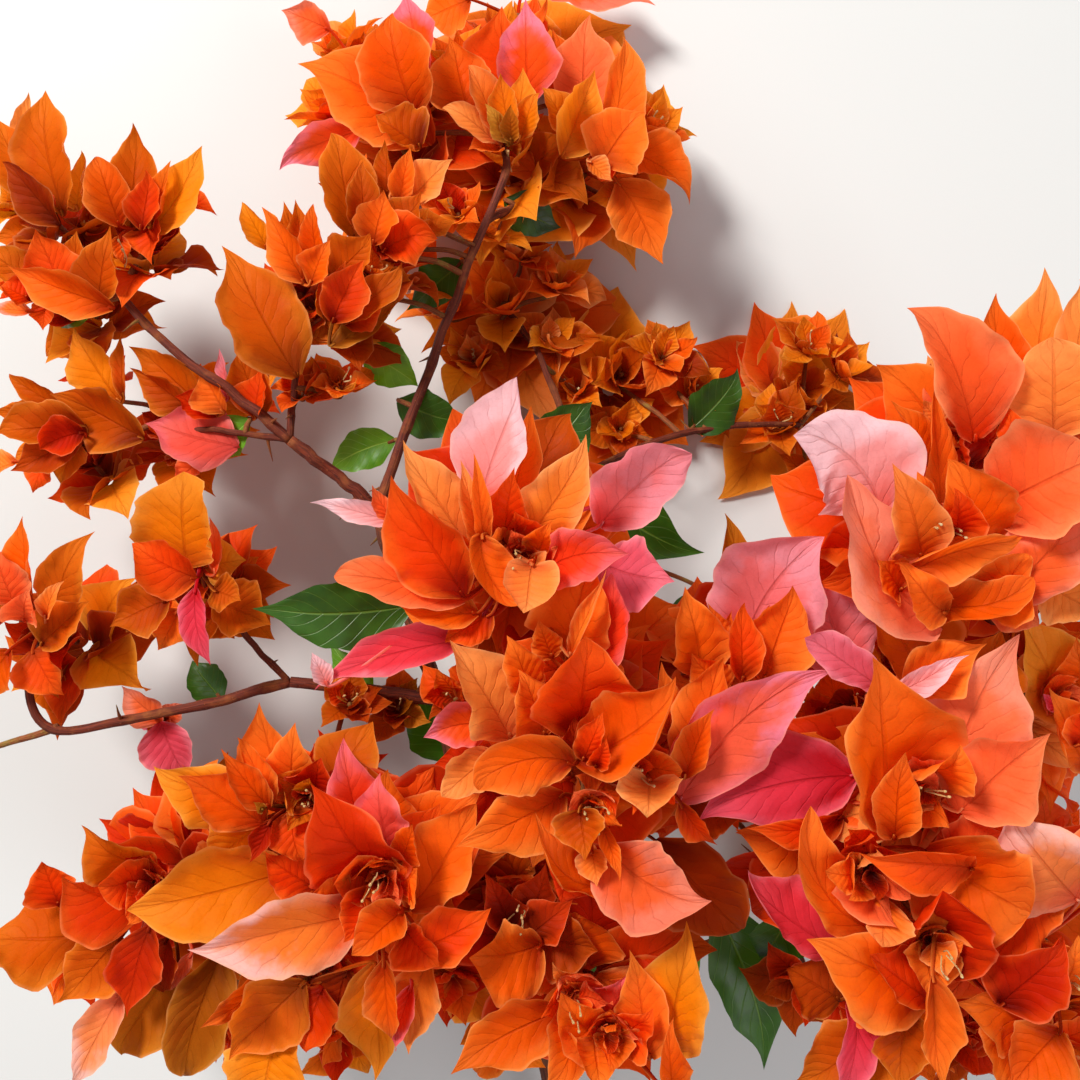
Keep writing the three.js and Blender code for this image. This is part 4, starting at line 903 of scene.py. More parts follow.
        ("burnt", 300, 266, -4, 284, 201, 2, 28, dict(k=.6)),
        ("burnt", 305, 266, -2, 294, 200, 4, 32, dict(k=.6)),
        ("orange", 318, 268, -2, 314, 202, 6, 32, dict(k=.6)),
        ("burnt", 328, 280, 0, 373, 233, 6, 50, dict(k=.5)),
        ("orange", 310, 285, 4, 330, 240, 10, 40, dict(k=.7)),
    ],
    "bloom_left_mid_b": [
        ("red_orange", 333, 322, 4, 361, 259, 8, 52, dict(k=.7)),
        ("burnt", 342, 322, 0, 405, 264, 4, 48, dict(k=.5, s=.1)),
        ("burnt", 324, 318, 4, 323, 269, 8, 32, dict(k=.7)),
        ("red_orange", 345, 324, -4, 384, 302, -2, 42, dict(k=.5)),
        ("olive", 330, 346, -6, 400, 298, -6, 36, dict(s=.2, k=.4)),
        ("orange", 330, 320, -2, 345, 262, 2, 36, dict(k=.6)),
    ],
    "bloom_left_mid_c": [
        ("burnt", 354, 240, 0, 333, 128, 6, 66, dict(k=.4)),
        ("orange", 374, 244, 6, 386, 190, 12, 50, dict(k=.7)),
        ("burnt", 366, 238, 2, 360, 160, 8, 40, dict(k=.5)),
        ("burnt", 387, 196, -4, 386, 139, 0, 26, dict(k=.6)),
        ("orange", 398, 205, -2, 412, 147, 4, 28, dict(k=.6)),
        ("light_orange", 406, 200, -6, 451, 159, 0, 46, dict(k=.4, s=.2)),
        ("red_orange", 384, 252, 4, 438, 240, 6, 60, dict(s=-.5, k=.5)),
        ("burnt", 392, 238, 0, 424, 192, 6, 50, dict(k=.5)),
        ("ember", 378, 250, 0, 396, 228, 8, 40, dict(k=.8)),
    ],
    "bloom_left_low_a": [
        ("amber", 120, 402, -4, 70, 329, 0, 56, dict(k=.4)),
        ("burnt", 124, 398, 0, 119, 333, 4, 22, dict(k=.7)),
        ("burnt", 144, 438, 4, 50, 391, 6, 66, dict(k=.3)),
        ("burnt", 64, 410, -2, 6, 372, 0, 24, dict(k=.6)),
        ("burnt", 56, 417, -2, -10, 411, 0, 32, dict(k=.6)),
        ("burnt", 84, 426, 2, -6, 432, 4, 58, dict(k=.6)),
        ("rust_and_shade", 80, 434, 0, 11, 472, 2, 54, dict(k=.5)),
        ("amber", 76, 440, -4, 62, 484, -4, 48, dict(k=.5)),
        ("light_orange", 18, 462, -6, -14, 472, -6, 28, {}),
        ("ember", 84, 432, 6, 40, 448, 8, 40, dict(k=.7)),
    ],
    "bloom_left_low_b": [
        ("burnt", 206, 408, -2, 131, 343, 2, 56, dict(k=.4)),
        ("burnt", 192, 410, 0, 132, 365, 4, 42, dict(k=.5)),
        ("red_pink", 238, 447, 2, 147, 420, 4, 70, dict(s=-.15, k=.3)),
        ("pink", 228, 398, -2, 219, 349, 4, 19, dict(k=.6)),
        ("burnt", 264, 414, 0, 240, 350, 6, 46, dict(k=.5)),
        ("red_orange", 256, 418, 2, 260, 368, 8, 42, dict(k=.6)),
        ("light_orange", 268, 376, 0, 252, 328, 4, 24, dict(k=.6)),
        ("ember", 215, 415, 4, 175, 395, 8, 40, dict(k=.7)),
        ("orange", 225, 412, 4, 200, 370, 8, 40, dict(k=.6)),
        ("coral", 205, 455, 0, 172, 482, -2, 36, dict(k=.4)),
    ],
    "bloom_left_inner": [
        ("amber", 186, 566, -4, 185, 474, 4, 92, dict(k=.35, sh=-.9)),
        ("red_orange", 196, 578, 4, 131, 541, 10, 60, dict(k=.8, s=-.2)),
        ("burnt", 168, 600, 0, 109, 625, 4, 58, dict(k=.5)),
        ("coral", 214, 574, 4, 210, 518, 8, 22, dict(k=.7)),
        ("magenta", 196, 588, 8, 212, 662, 6, 34, dict(k=.5, s=.25)),
        ("burnt", 214, 600, -6, 270, 624, -8, 62, dict(k=.4)),
        ("amber", 206, 566, -8, 246, 560, -6, 50, dict(k=.4)),
        ("orange", 180, 610, 0, 160, 650, -2, 44, dict(k=.4)),
        ("burnt", 214, 590, 2, 240, 600, 6, 40, dict(k=.5)),
    ],
    "bloom_far_left": [
        ("orange", 30, 596, 0, 19, 516, 6, 42, dict(k=.5)),
        ("coral", 14, 604, 4, -4, 545, 8, 58, dict(k=.5)),
        ("burnt", 50, 616, -2, 93, 531, 6, 50, dict(k=.4)),
        ("light_orange", 46, 618, 6, 63, 580, 10, 24, dict(k=.6)),
        ("burnt", 42, 645, 0, 86, 600, 6, 54, dict(k=.4)),
        ("red_orange", 32, 650, -4, 62, 696, -4, 54, dict(k=.4)),
        ("orange", 10, 650, 0, -22, 704, 0, 52, dict(k=.4)),
        ("coral", 24, 620, 6, 30, 590, 12, 40, dict(k=.8)),
        ("burnt", -5, 610, 0, -40, 580, 2, 50, dict(k=.5)),
    ],
    "bloom_top_a": [
        ("orange", 424, 134, 0, 302, 66, 8, 96, dict(k=.3, s=.15)),
        ("orange", 430, 140, 6, 340, 58, 12, 84, dict(k=.4)),
        ("orange_pink", 362, 130, -4, 278, 166, -6, 42, dict(k=.4)),
        ("orange", 414, 114, 4, 390, 16, 12, 84, dict(k=.35)),
        ("light_orange", 380, 70, 6, 376, 24, 10, 26, dict(k=.5)),
        ("orange_pink", 424, 74, -4, 405, -8, 4, 66, dict(k=.3)),
        ("coral_pink", 330, 30, -8, 282, 8, -6, 40, dict(k=.4)),
        ("burnt", 420, 148, 8, 375, 118, 14, 70, dict(k=.6)),
    ],
    "bloom_top_b": [
        ("red_orange", 508, 110, -8, 500, 6, 2, 88, dict(k=.35)),
        ("orange_pink", 528, 104, -6, 526, 2, 4, 64, dict(k=.35)),
        ("orange", 470, 120, -6, 452, 36, 2, 74, dict(k=.35)),
        ("light_orange", 500, 136, 6, 467, 62, 12, 38, dict(k=.5)),
        ("light_orange", 496, 142, 6, 440, 106, 12, 30, dict(k=.5)),
        ("amber", 510, 136, 8, 499, 72, 16, 34, dict(k=.6)),
        ("amber", 516, 134, 6, 524, 68, 12, 38, dict(k=.6)),
        ("young", 508, 142, 10, 486, 104, 18, 22, dict(k=.7)),
        ("olive", 512, 142, 10, 510, 104, 20, 22, dict(k=.7)),
        ("amber", 520, 140, 8, 538, 92, 14, 34, dict(k=.6)),
        ("orange", 500, 150, 2, 468, 150, 8, 36, dict(k=.6)),
    ],
    "bloom_top_c": [
        ("coral", 582, 115, -4, 586, 14, 4, 70, dict(k=.35)),
        ("orange", 575, 110, -8, 552, 30, 0, 66, dict(k=.4)),
        ("amber", 572, 136, 6, 542, 90, 10, 40, dict(k=.5)),
        ("amber", 562, 156, 8, 597, 70, 14, 54, dict(k=.5)),
        ("orange", 612, 154, 2, 628, 34, 10, 48, dict(k=.4)),
        ("orange", 602, 164, 4, 644, 110, 12, 74, dict(k=.5)),
        ("orange", 624, 150, 2, 693, 203, 0, 54, dict(s=-.35, k=.4)),
        ("orange", 618, 182, -6, 660, 264, -8, 64, dict(k=.4, s=-.2)),
        ("light_orange", 588, 162, 8, 612, 180, 12, 26, dict(k=.5)),
        ("red_orange", 600, 175, 0, 628, 160, 8, 50, dict(k=.6)),
    ],
    "bloom_top_d": [
        ("coral_pink", 528, -16, 0, 656, -2, 6, 66, dict(k=.4)),
        ("orange", 470, 0, 4, 420, 20, 4, 60, dict(k=.4)),
    ],
}

# More small blooms of the same clusters, each on a stalk of its own: bloom whose cluster it joins,
# place (across, down, height), the way it points, length of its bracts in view units, bracts, palette
CLUSTER = [
    ("bloom_low_left_a", 430, 890, 172, (-.1, .1, 1), 52, 13, "left"),
    ("bloom_low_left_a", 452, 985, 158, (.1, -.3, 1), 58, 12, "left"),
    ("bloom_low_left_a", 318, 1000, 150, (-.1, -.4, 1), 56, 10, "shade"),
    ("bloom_low_left_b", 235, 900, 120, (-.3, -.1, 1), 60, 12, "shade"),
    ("bloom_low_left_b", 330, 770, 138, (.3, .4, 1), 54, 11, "left"),
    ("bloom_low_left_b", 205, 830, 128, (-.4, .2, .9), 50, 10, "left"),
    ("bloom_low_left_b", 350, 700, 118, (.2, .5, .9), 44, 10, "shade_mid"),
    ("bloom_far_left_low", 58, 960, 118, (-.4, -.2, .9), 60, 12, "shade"),
    ("bloom_far_left_low", 160, 985, 112, (.1, -.4, 1), 60, 12, "shade"),
    ("bloom_far_left_low", 165, 850, 120, (0, .4, .9), 46, 10, "left"),
    ("bloom_bottom_left", 215, 1035, 116, (-.3, -.4, .9), 56, 11, "left"),
    ("bloom_bottom_left", 345, 1045, 132, (.3, -.4, .9), 56, 11, "left"),
    ("bloom_bottom_inner", 500, 855, 140, (-.2, .3, 1), 56, 11, "shade"),
    ("bloom_bottom_inner", 560, 960, 134, (.2, 0, 1), 58, 11, "shade"),
    ("bloom_bottom", 500, 1035, 146, (-.3, -.2, 1), 58, 12, "left"),
    ("bloom_bottom", 655, 960, 146, (.4, .3, .9), 54, 10, "front"),
    ("bloom_center_low", 500, 800, 150, (-.3, 0, 1), 56, 11, "shade"),
    ("bloom_center_low", 640, 880, 148, (.3, -.3, 1), 58, 11, "shade"),
    ("bloom_center_right", 725, 790, 146, (.4, 0, 1), 58, 11, "shade"),
    ("bloom_center", 520, 700, 158, (-.3, .1, 1), 58, 12, "front"),
    ("bloom_center", 450, 700, 128, (-.4, .1, 1), 48, 10, "shade"),
    ("bloom_center_top", 455, 615, 160, (-.3, -.3, 1), 54, 11, "front"),
    ("bloom_center_top", 590, 610, 160, (.3, -.2, 1), 60, 12, "front"),
    ("bloom_upright_right", 690, 640, 128, (-.1, .4, 1), 48, 10, "shade"),
    ("bloom_upright_right", 778, 680, 138, (.2, .2, 1), 60, 12, "front"),
    ("bloom_right_upper", 880, 600, 150, (-.3, -.2, 1), 62, 12, "right"),
    ("bloom_right_upper", 1030, 560, 156, (.3, -.1, 1), 62, 12, "right"),
    ("bloom_right_upper", 900, 650, 142, (-.1, -.1, 1), 60, 12, "shade"),
    ("bloom_right_top", 948, 440, 142, (-.1, .3, 1), 50, 11, "right"),
    ("bloom_right_top", 1060, 360, 146, (.2, .4, 1), 62, 12, "right"),
    ("bloom_low_right_b", 830, 720, 142, (-.4, .2, 1), 60, 12, "shade"),
    ("bloom_low_right_b", 990, 700, 160, (.2, .3, 1), 66, 12, "right"),
    ("bloom_low_right_a", 800, 850, 146, (-.5, 0, 1), 60, 12, "shade"),
    ("bloom_low_right_a", 1000, 860, 166, (.3, 0, 1), 62, 12, "front"),
    ("bloom_low_right_c", 860, 1000, 158, (-.3, -.3, 1), 62, 12, "shade"),
    ("bloom_low_right_c", 960, 1050, 168, (0, -.4, 1), 64, 13, "shade"),
    ("bloom_low_right_d", 1060, 860, 160, (.2, .2, 1), 66, 12, "right"),
    ("bloom_low_right_d", 1060, 1060, 160, (.2, -.3, 1), 64, 12, "right"),
    ("bloom_right_edge", 1050, 650, 146, (.1, .4, .9), 60, 11, "right"),
    ("bloom_low_right_c", 800, 990, 126, (-.4, -.2, 1), 60, 11, "dull"),
    ("bloom_low_right_c", 908, 1048, 148, (0, -.3, 1), 62, 12, "front"),
    ("bloom_low_right_d", 1012, 1046, 156, (0, -.3, 1), 62, 12, "shade"),
    ("bloom_low_left_b", 398, 706, 102, (.1, .4, .9), 44, 9, "dull"),
    ("bloom_low_right_d", 1078, 1016, 150, (.3, -.1, 1), 64, 12, "right"),
    ("bloom_center_right", 700, 690, 132, (.1, .3, 1), 54, 10, "shade"),
    ("bloom_left_top_a", 12, 198, 96, (-.3, .6, .7), 44, 8, "shade_mid"),
    ("bloom_left_top_b", 172, 190, 98, (.3, .6, .7), 42, 8, "mid"),
    ("bloom_left_top_c", 20, 282, 98, (-.4, .4, .8), 44, 8, "mid"),
    ("bloom_left_top_c", 92, 222, 96, (.1, .7, .7), 42, 8, "shade_mid"),
    ("bloom_left_mid_a", 262, 300, 112, (-.2, .6, .7), 42, 8, "mid"),
    ("bloom_left_mid_b", 375, 268, 108, (.3, .5, .7), 42, 8, "mid"),
    ("bloom_left_mid_b", 300, 385, 108, (.0, .6, .7), 46, 9, "mid"),
    ("bloom_left_mid_b", 342, 378, 108, (.2, .6, .7), 46, 9, "mid"),
    ("bloom_left_mid_c", 412, 222, 98, (.3, .6, .7), 46, 9, "mid"),
    ("bloom_left_mid_c", 352, 180, 98, (-.2, .7, .7), 42, 8, "mid"),
    ("bloom_left_low_a", 40, 452, 84, (-.4, .1, .9), 44, 9, "shade_mid"),
    ("bloom_left_low_a", 100, 372, 86, (.0, .7, .7), 42, 8, "mid"),
    ("bloom_left_low_b", 200, 385, 86, (.1, .7, .7), 46, 9, "mid"),
    ("bloom_left_low_b", 248, 392, 92, (.2, .6, .7), 46, 9, "mid"),
    ("bloom_left_inner", 150, 600, 112, (-.4, .1, .9), 48, 9, "mid"),
    ("bloom_left_inner", 236, 596, 112, (.4, .1, .9), 50, 10, "shade_mid"),
    ("bloom_far_left", 40, 668, 98, (.1, -.2, 1), 50, 10, "mid"),
    ("bloom_far_left", -10, 600, 98, (-.4, .4, .8), 50, 10, "mid"),
    ("bloom_top_a", 330, 100, 56, (-.4, .4, .8), 62, 12, "back"),
    ("bloom_top_a", 420, 100, 54, (.1, .5, .8), 62, 12, "back"),
    ("bloom_top_a", 340, 40, 50, (-.3, .6, .7), 56, 11, "back"),
    ("bloom_top_b", 455, 60, 60, (-.2, .6, .7), 62, 12, "back"),
    ("bloom_top_b", 545, 60, 60, (.2, .6, .7), 62, 12, "back"),
    ("bloom_top_b", 455, 205, 78, (-.2, .5, .8), 46, 10, "mid"),
    ("bloom_top_b", 492, 222, 76, (.2, .5, .8), 44, 9, "mid"),
    ("bloom_top_c", 660, 120, 54, (.5, .4, .7), 56, 11, "back"),
    ("bloom_top_c", 600, 70, 56, (.1, .6, .7), 60, 12, "back"),
    ("bloom_top_c", 640, 200, 52, (.5, -.2, .8), 56, 11, "back"),
    ("bloom_back_a", 440, 300, 44, (-.3, .5, .8), 52, 10, "back_painted_light"),
    ("bloom_back_a", 520, 246, 46, (0, .6, .8), 52, 10, "back_painted_light"),
    ("bloom_back_a", 560, 275, 44, (.3, .5, .8), 52, 10, "back_painted_light"),
    ("bloom_back_a", 470, 355, 40, (-.2, .4, .9), 48, 10, "back_painted_light"),
    ("bloom_back_a", 555, 335, 40, (.2, .4, .9), 50, 10, "back_painted_light"),
    ("bloom_back_b", 575, 385, 34, (-.3, .4, .9), 50, 10, "back_painted_light"),
    ("bloom_back_b", 668, 348, 34, (.3, .5, .8), 52, 10, "back_amber"),
    ("bloom_back_b", 700, 392, 32, (.4, .3, .9), 50, 10, "back_amber"),
    ("bloom_back_b", 622, 425, 32, (0, .2, 1), 46, 9, "back_amber"),
    ("bloom_back_c", 780, 420, 28, (-.2, .3, .9), 52, 10, "back_amber"),
    ("bloom_back_c", 850, 365, 28, (.3, .4, .8), 52, 10, "back_amber"),
    ("bloom_back_c", 812, 340, 28, (0, .6, .8), 48, 9, "back_amber"),
    ("bloom_back_c", 818, 480, 24, (.1, .2, 1), 48, 9, "back_amber"),
    ("bloom_low_right_b", 868, 700, 150, (0, .3, 1), 46, 8, "shade"),
    ("bloom_low_right_c", 985, 1022, 142, (.1, -.2, 1), 56, 10, "shade"),
]

# throats that show their threads: bloom, place, height over the bloom's own, threads
THROATS = [("bloom_center_top", 522, 556, -2, 2), ("bloom_center_low", 594, 814, -4, 4), ("bloom_right_upper", 947, 530, 0, 3),
           ("bloom_right_upper", 940, 524, 2, 2), ("bloom_low_right_b", 926, 790, 0, 3), ("bloom_low_right_c", 948, 962, 4, 3),
           ("bloom_bottom_inner", 518, 915, 0, 5), ("bloom_low_left_a", 372, 880, 4, 3), ("bloom_low_left_b", 302, 798, 2, 3),
           ("bloom_bottom", 578, 1010, 2, 3), ("bloom_center_right", 642, 772, 2, 2), ("bloom_low_right_d", 1062, 978, 2, 3),
           ("bloom_left_top_c", 118, 262, 0, 3), ("bloom_top_b", 512, 165, -4, 2), ("bloom_left_mid_a", 322, 268, 0, 2)]

# open cups of broad bracts round a dark throat: bloom, place, height over the bloom's own, half-width
CUPS = [("bloom_center_top", 517, 560, 6, 45), 
           ("bloom_center_right", 643, 776, 6, 33), ("bloom_center_low", 592, 818, 4, 32),
           ("bloom_right_upper", 944, 524, 4, 27),
           ("bloom_low_right_b", 930, 794, 2, 36), ("bloom_low_right_a", 884, 884, 8, 44),
           ("bloom_low_right_c", 948, 960, 6, 40), ("bloom_low_right_d", 1062, 980, 6, 36),
           ("bloom_right_edge", 1078, 700, 4, 28), ("bloom_low_left_a", 374, 892, 8, 36),
           ("bloom_low_left_b", 296, 798, 6, 34), ("bloom_far_left_low", 134, 895, 6, 32),
           ("bloom_bottom_left", 276, 1014, 4, 34), ("bloom_bottom_inner", 518, 915, 2, 38),
           ("bloom_bottom", 578, 1014, 8, 34), ("bloom_bottom", 612, 1046, 10, 26)]

STALKS, THREADS, TWIGS, BUNCHES, CLAWS = Bunch(), Bunch(), Bunch(), [], []


def pick(rng, palette):
    names, weights = zip(*PALETTES[palette])
    return names[rng.choice(len(names), p=np.array(weights) / sum(weights))]


def beneath(low, high, reach=0.0017):
    """Which vertices of one grid lie over or under another seen from above, and how far above it."""
    p, q = low.reshape(-1, 3), high.reshape(-1, 3)
    inside = np.all((p[:, :2] > q[:, :2].min(0) - reach) & (p[:, :2] < q[:, :2].max(0) + reach), axis=1)
    index = np.nonzero(inside)[0]
    near = np.all((q[:, :2] > p[index, :2].min(0) - reach) & (q[:, :2] < p[index, :2].max(0) + reach), axis=1) if len(index) else []
    q = q[near] if len(index) else q[:0]
    if not len(index) or not len(q):
        return index[:0], np.zeros(0)
    gap = ((p[index, None, :2] - q[None, :, :2]) ** 2).sum(-1)
    best = gap.argmin(1)
    found = gap[np.arange(len(index)), best] < reach * reach
    return index[found], (p[index, 2] - q[best, 2])[found]


def give_way(low, index, over, most, gap=0.0007):
    """Bends a grid down softly until those vertices are clear of what lies over it."""
    need = np.zeros(low.shape[0] * low.shape[1])
    need[index] = np.clip(over + gap, 0, most)
    if not need.any():
        return
    need = need.reshape(low.shape[:2])
    soft = need
    for step in range(2):
        wide = np.pad(soft, 1, mode="edge")
        soft = np.max([wide[i:i + need.shape[0], j:j + need.shape[1]] for i in range(3) for j in range(3)], axis=0)
    for step in range(3):
        wide = np.pad(soft, 1, mode="edge")
        soft = np.mean([wide[i:i + need.shape[0], j:j + need.shape[1]] for i in range(3) for j in range(3)], axis=0)
    low[..., 2] -= np.maximum(need, soft * 0.95)


def settle(grids):
    """Lays overlapping bracts over each other, so that none cuts through its neighbour. The one that
    lies higher where two overlap stays; seeded bracts (rank 0) always give way to the others."""
    order = sorted((g for g in grids if g[4] >= 0), key=lambda g: (-g[4], -g[0][..., 2].mean()))
    boxes = np.array([[*g[0].reshape(-1, 3)[:, :2].min(0), *g[0].reshape(-1, 3)[:, :2].max(0)] for g in order])
    ranks = np.array([g[4] for g in order])
    shown = int((ranks > 0).sum())
    for i in [*range(shown), *range(shown)]:
        upper = order[i]
        b = boxes[i]
        touch = (boxes[i + 1:, 0] < b[2]) & (boxes[i + 1:, 2] > b[0]) & (boxes[i + 1:, 1] < b[3]) & (boxes[i + 1:, 3] > b[1])
        for j in np.nonzero(touch)[0] + i + 1:
            lower = order[j]
            index, over = beneath(lower[0], upper[0])
            if len(index) < 3:
                continue
            if ranks[j] == 0:
                if over.mean() < 0.005:
                    give_way(lower[0], index, over, 0.010)
            elif np.sign(over).mean() <= 0:
                give_way(lower[0], index, over, 0.007)
            else:
                index, over = beneath(upper[0], lower[0])
                give_way(upper[0], index, over, 0.007)


def rosette(centre, axis, bunch, rng, palette, count, reach, heart, inner=0.0, outer=1.0, detail=(16, 8), keep_off=(), low=0.0):
    """Seeded bracts round a bloom's axis, from the tight throat (0) to the open rim (1). keep_off holds
    bearings that bracts of the table already fill: a bract that falls there is set lower."""
    foot = centre - axis * heart * 0.60
    side = unit(np.cross(axis, [0.3, 0.9, 0.2]))
    other = np.cross(axis, side)
    turn0 = rng.random() * 6.28
    for i in range(count):
        f = inner + (outer - inner) * (i + 0.5) / count
        turn = turn0 + i * 2.39996 + rng.normal(0, 0.16)
        radial = math.cos(turn) * side + math.sin(turn) * other
        drop = low
        if f > 0.45 and any(radial[:2].dot(k) > 0.80 for k in keep_off):
            drop += 0.30
        spread = math.radians(12 + 80 * f**0.85 + rng.normal(0, 6)) + drop * 0.35
        length = (heart * 1.25 + (reach * 1.02 - heart * 1.25) * f) * rng.uniform(0.86, 1.14)
        d = math.cos(spread) * axis + math.sin(spread) * radial
        base = foot + radial * heart * (0.05 + 0.12 * f) - axis * heart * (0.10 * f + drop * 0.5)
        tip = base + d * length
        bow = -0.50 + 0.95 * f + rng.normal(0, 0.10)
        bunch.add(*blade(base, tip, axis * 1.0 - radial * 0.15, length * rng.uniform(0.70, 0.92),
                         bow=bow, curl=rng.normal(0.05 - 0.35 * f, 0.32), cup=1.15 - 0.80 * f + rng.normal(0, 0.15),
                         cup_tip=0.7 - 0.5 * f + rng.normal(0, 0.25), twist=rng.normal(0, 0.32), lean=rng.normal(0, 0.15),
                         wave=abs(rng.normal(0.05, 0.05)), waves=rng.uniform(1.2, 2.6), phase=rng.random() * 6.28, crease=rng.uniform(0.02, 0.22),
                         sway=rng.normal(0, 0.14), wide_at=rng.normal(0, 0.03), sharp=rng.random() * 0.5,
                         nt=detail[0], ns=detail[1]),
                  BRACT_ORDER.index(pick(rng, palette)), rng.random(), 0)


def open_cup(centre, axis, bunch, rng, palette, radius):
    """Broad bracts that overlap round a deep throat and turn out at the rim."""
    side = unit(np.cross(axis, [0.3, 0.9, 0.2]))
    other = np.cross(axis, side)
    turn0 = rng.random() * 6.28
    # the innermost ring takes the dark 'heart' palette: painted shade in the throat
    for count, size, tones, open_ in ((4, 1.0, palette, 1.0), (3, 0.66, palette, 0.75), (3, 0.40, "heart", 0.4)):
        turn0 += 0.8
        for i in range(count):
            turn = turn0 + i * 6.2832 / count + rng.normal(0, 0.16)
            radial = math.cos(turn) * side + math.sin(turn) * other
            r = radius * size * rng.uniform(0.90, 1.14)
            base = centre - axis * radius * 1.0 + radial * r * 0.12
            tip = centre + radial * r * rng.uniform(0.92, 1.22) * (0.6 + 0.4 * open_) + axis * r * rng.uniform(-0.15, 0.30)
            bunch.add(*blade(base, tip, axis * 0.55 - radial, r * rng.uniform(1.55, 1.95), bow=-0.55 + rng.normal(0, 0.08),
                             curl=-0.75 - 0.35 * open_ + rng.normal(0, 0.2), cup=1.15, cup_tip=0.55 + rng.normal(0, 0.2),
                             twist=rng.normal(0, 0.25), lean=rng.normal(0, 0.14), wave=0.05, waves=rng.uniform(1.2, 2.2),
                             phase=rng.random() * 6.28, sway=rng.normal(0, 0.12), wide_at=0.04, sharp=rng.uniform(-0.7, 0.2),
                             crinkle=1.1, skew=rng.normal(0, 0.08), nt=18, ns=12),
                      BRACT_ORDER.index(pick(rng, tones)), rng.random(), 1)


def filaments(centre, axis, heart, rng, count):
    """Thin pale threads with a small head, out of a throat."""
    side = unit(np.cross(axis, [0.3, 0.9, 0.2]))
    other = np.cross(axis, side)
    for i in range(count):
        a = rng.random() * 6.28
        out = math.cos(a) * side + math.sin(a) * other
        start = centre - axis * heart * 0.25 + out * 0.0008
        end = centre + axis * heart * rng.uniform(0.25, 0.55) + out * rng.uniform(0.0015, 0.0045)
        line = curve_through([start, (start + end) / 2 + out * 0.0012, end], 0.0009)
        THREADS.add(*tube(line, np.r_[np.full(len(line) - 2, 0.00022), 0.00042, 0.00038], 5, 0, 1), 0, 0.5)


def stalk(foot, axis, gap_cap, seed, thick=0.0010):
    """A flower stalk from the nearest limb to the foot of a bloom."""
    gap = np.linalg.norm(ALL_LINE - foot, axis=1) + np.maximum(0, ALL_LINE[:, 2] - foot[2]) * 0.8
    i = int(np.argmin(gap))
    start = ALL_LINE[i]
    span = np.linalg.norm(foot - start)
    out = unit(foot - start)
    bend = [start, start + out * span * 0.35 + np.array([0, 0, -0.03]) * span, foot - axis * min(span * 0.22, 0.006), foot + axis * gap_cap]
    line = curve_through(bend, 0.0016)
    line[:, 2] = np.maximum(line[:, 2], thick + 0.0004)
    STALKS.add(*tube(line, np.linspace(thick * 1.15, thick * 0.8, len(line)), 7, 0.06, seed), 0, 0.5)


OPTION = {"b": "bow", "c": "curl", "k": "cup", "kt": "cup_tip", "t": "twist", "l": "lean", "w": "wave", "n": "waves",
          "s": "sway", "wa": "wide_at", "sh": "sharp", "cr": "crinkle"}

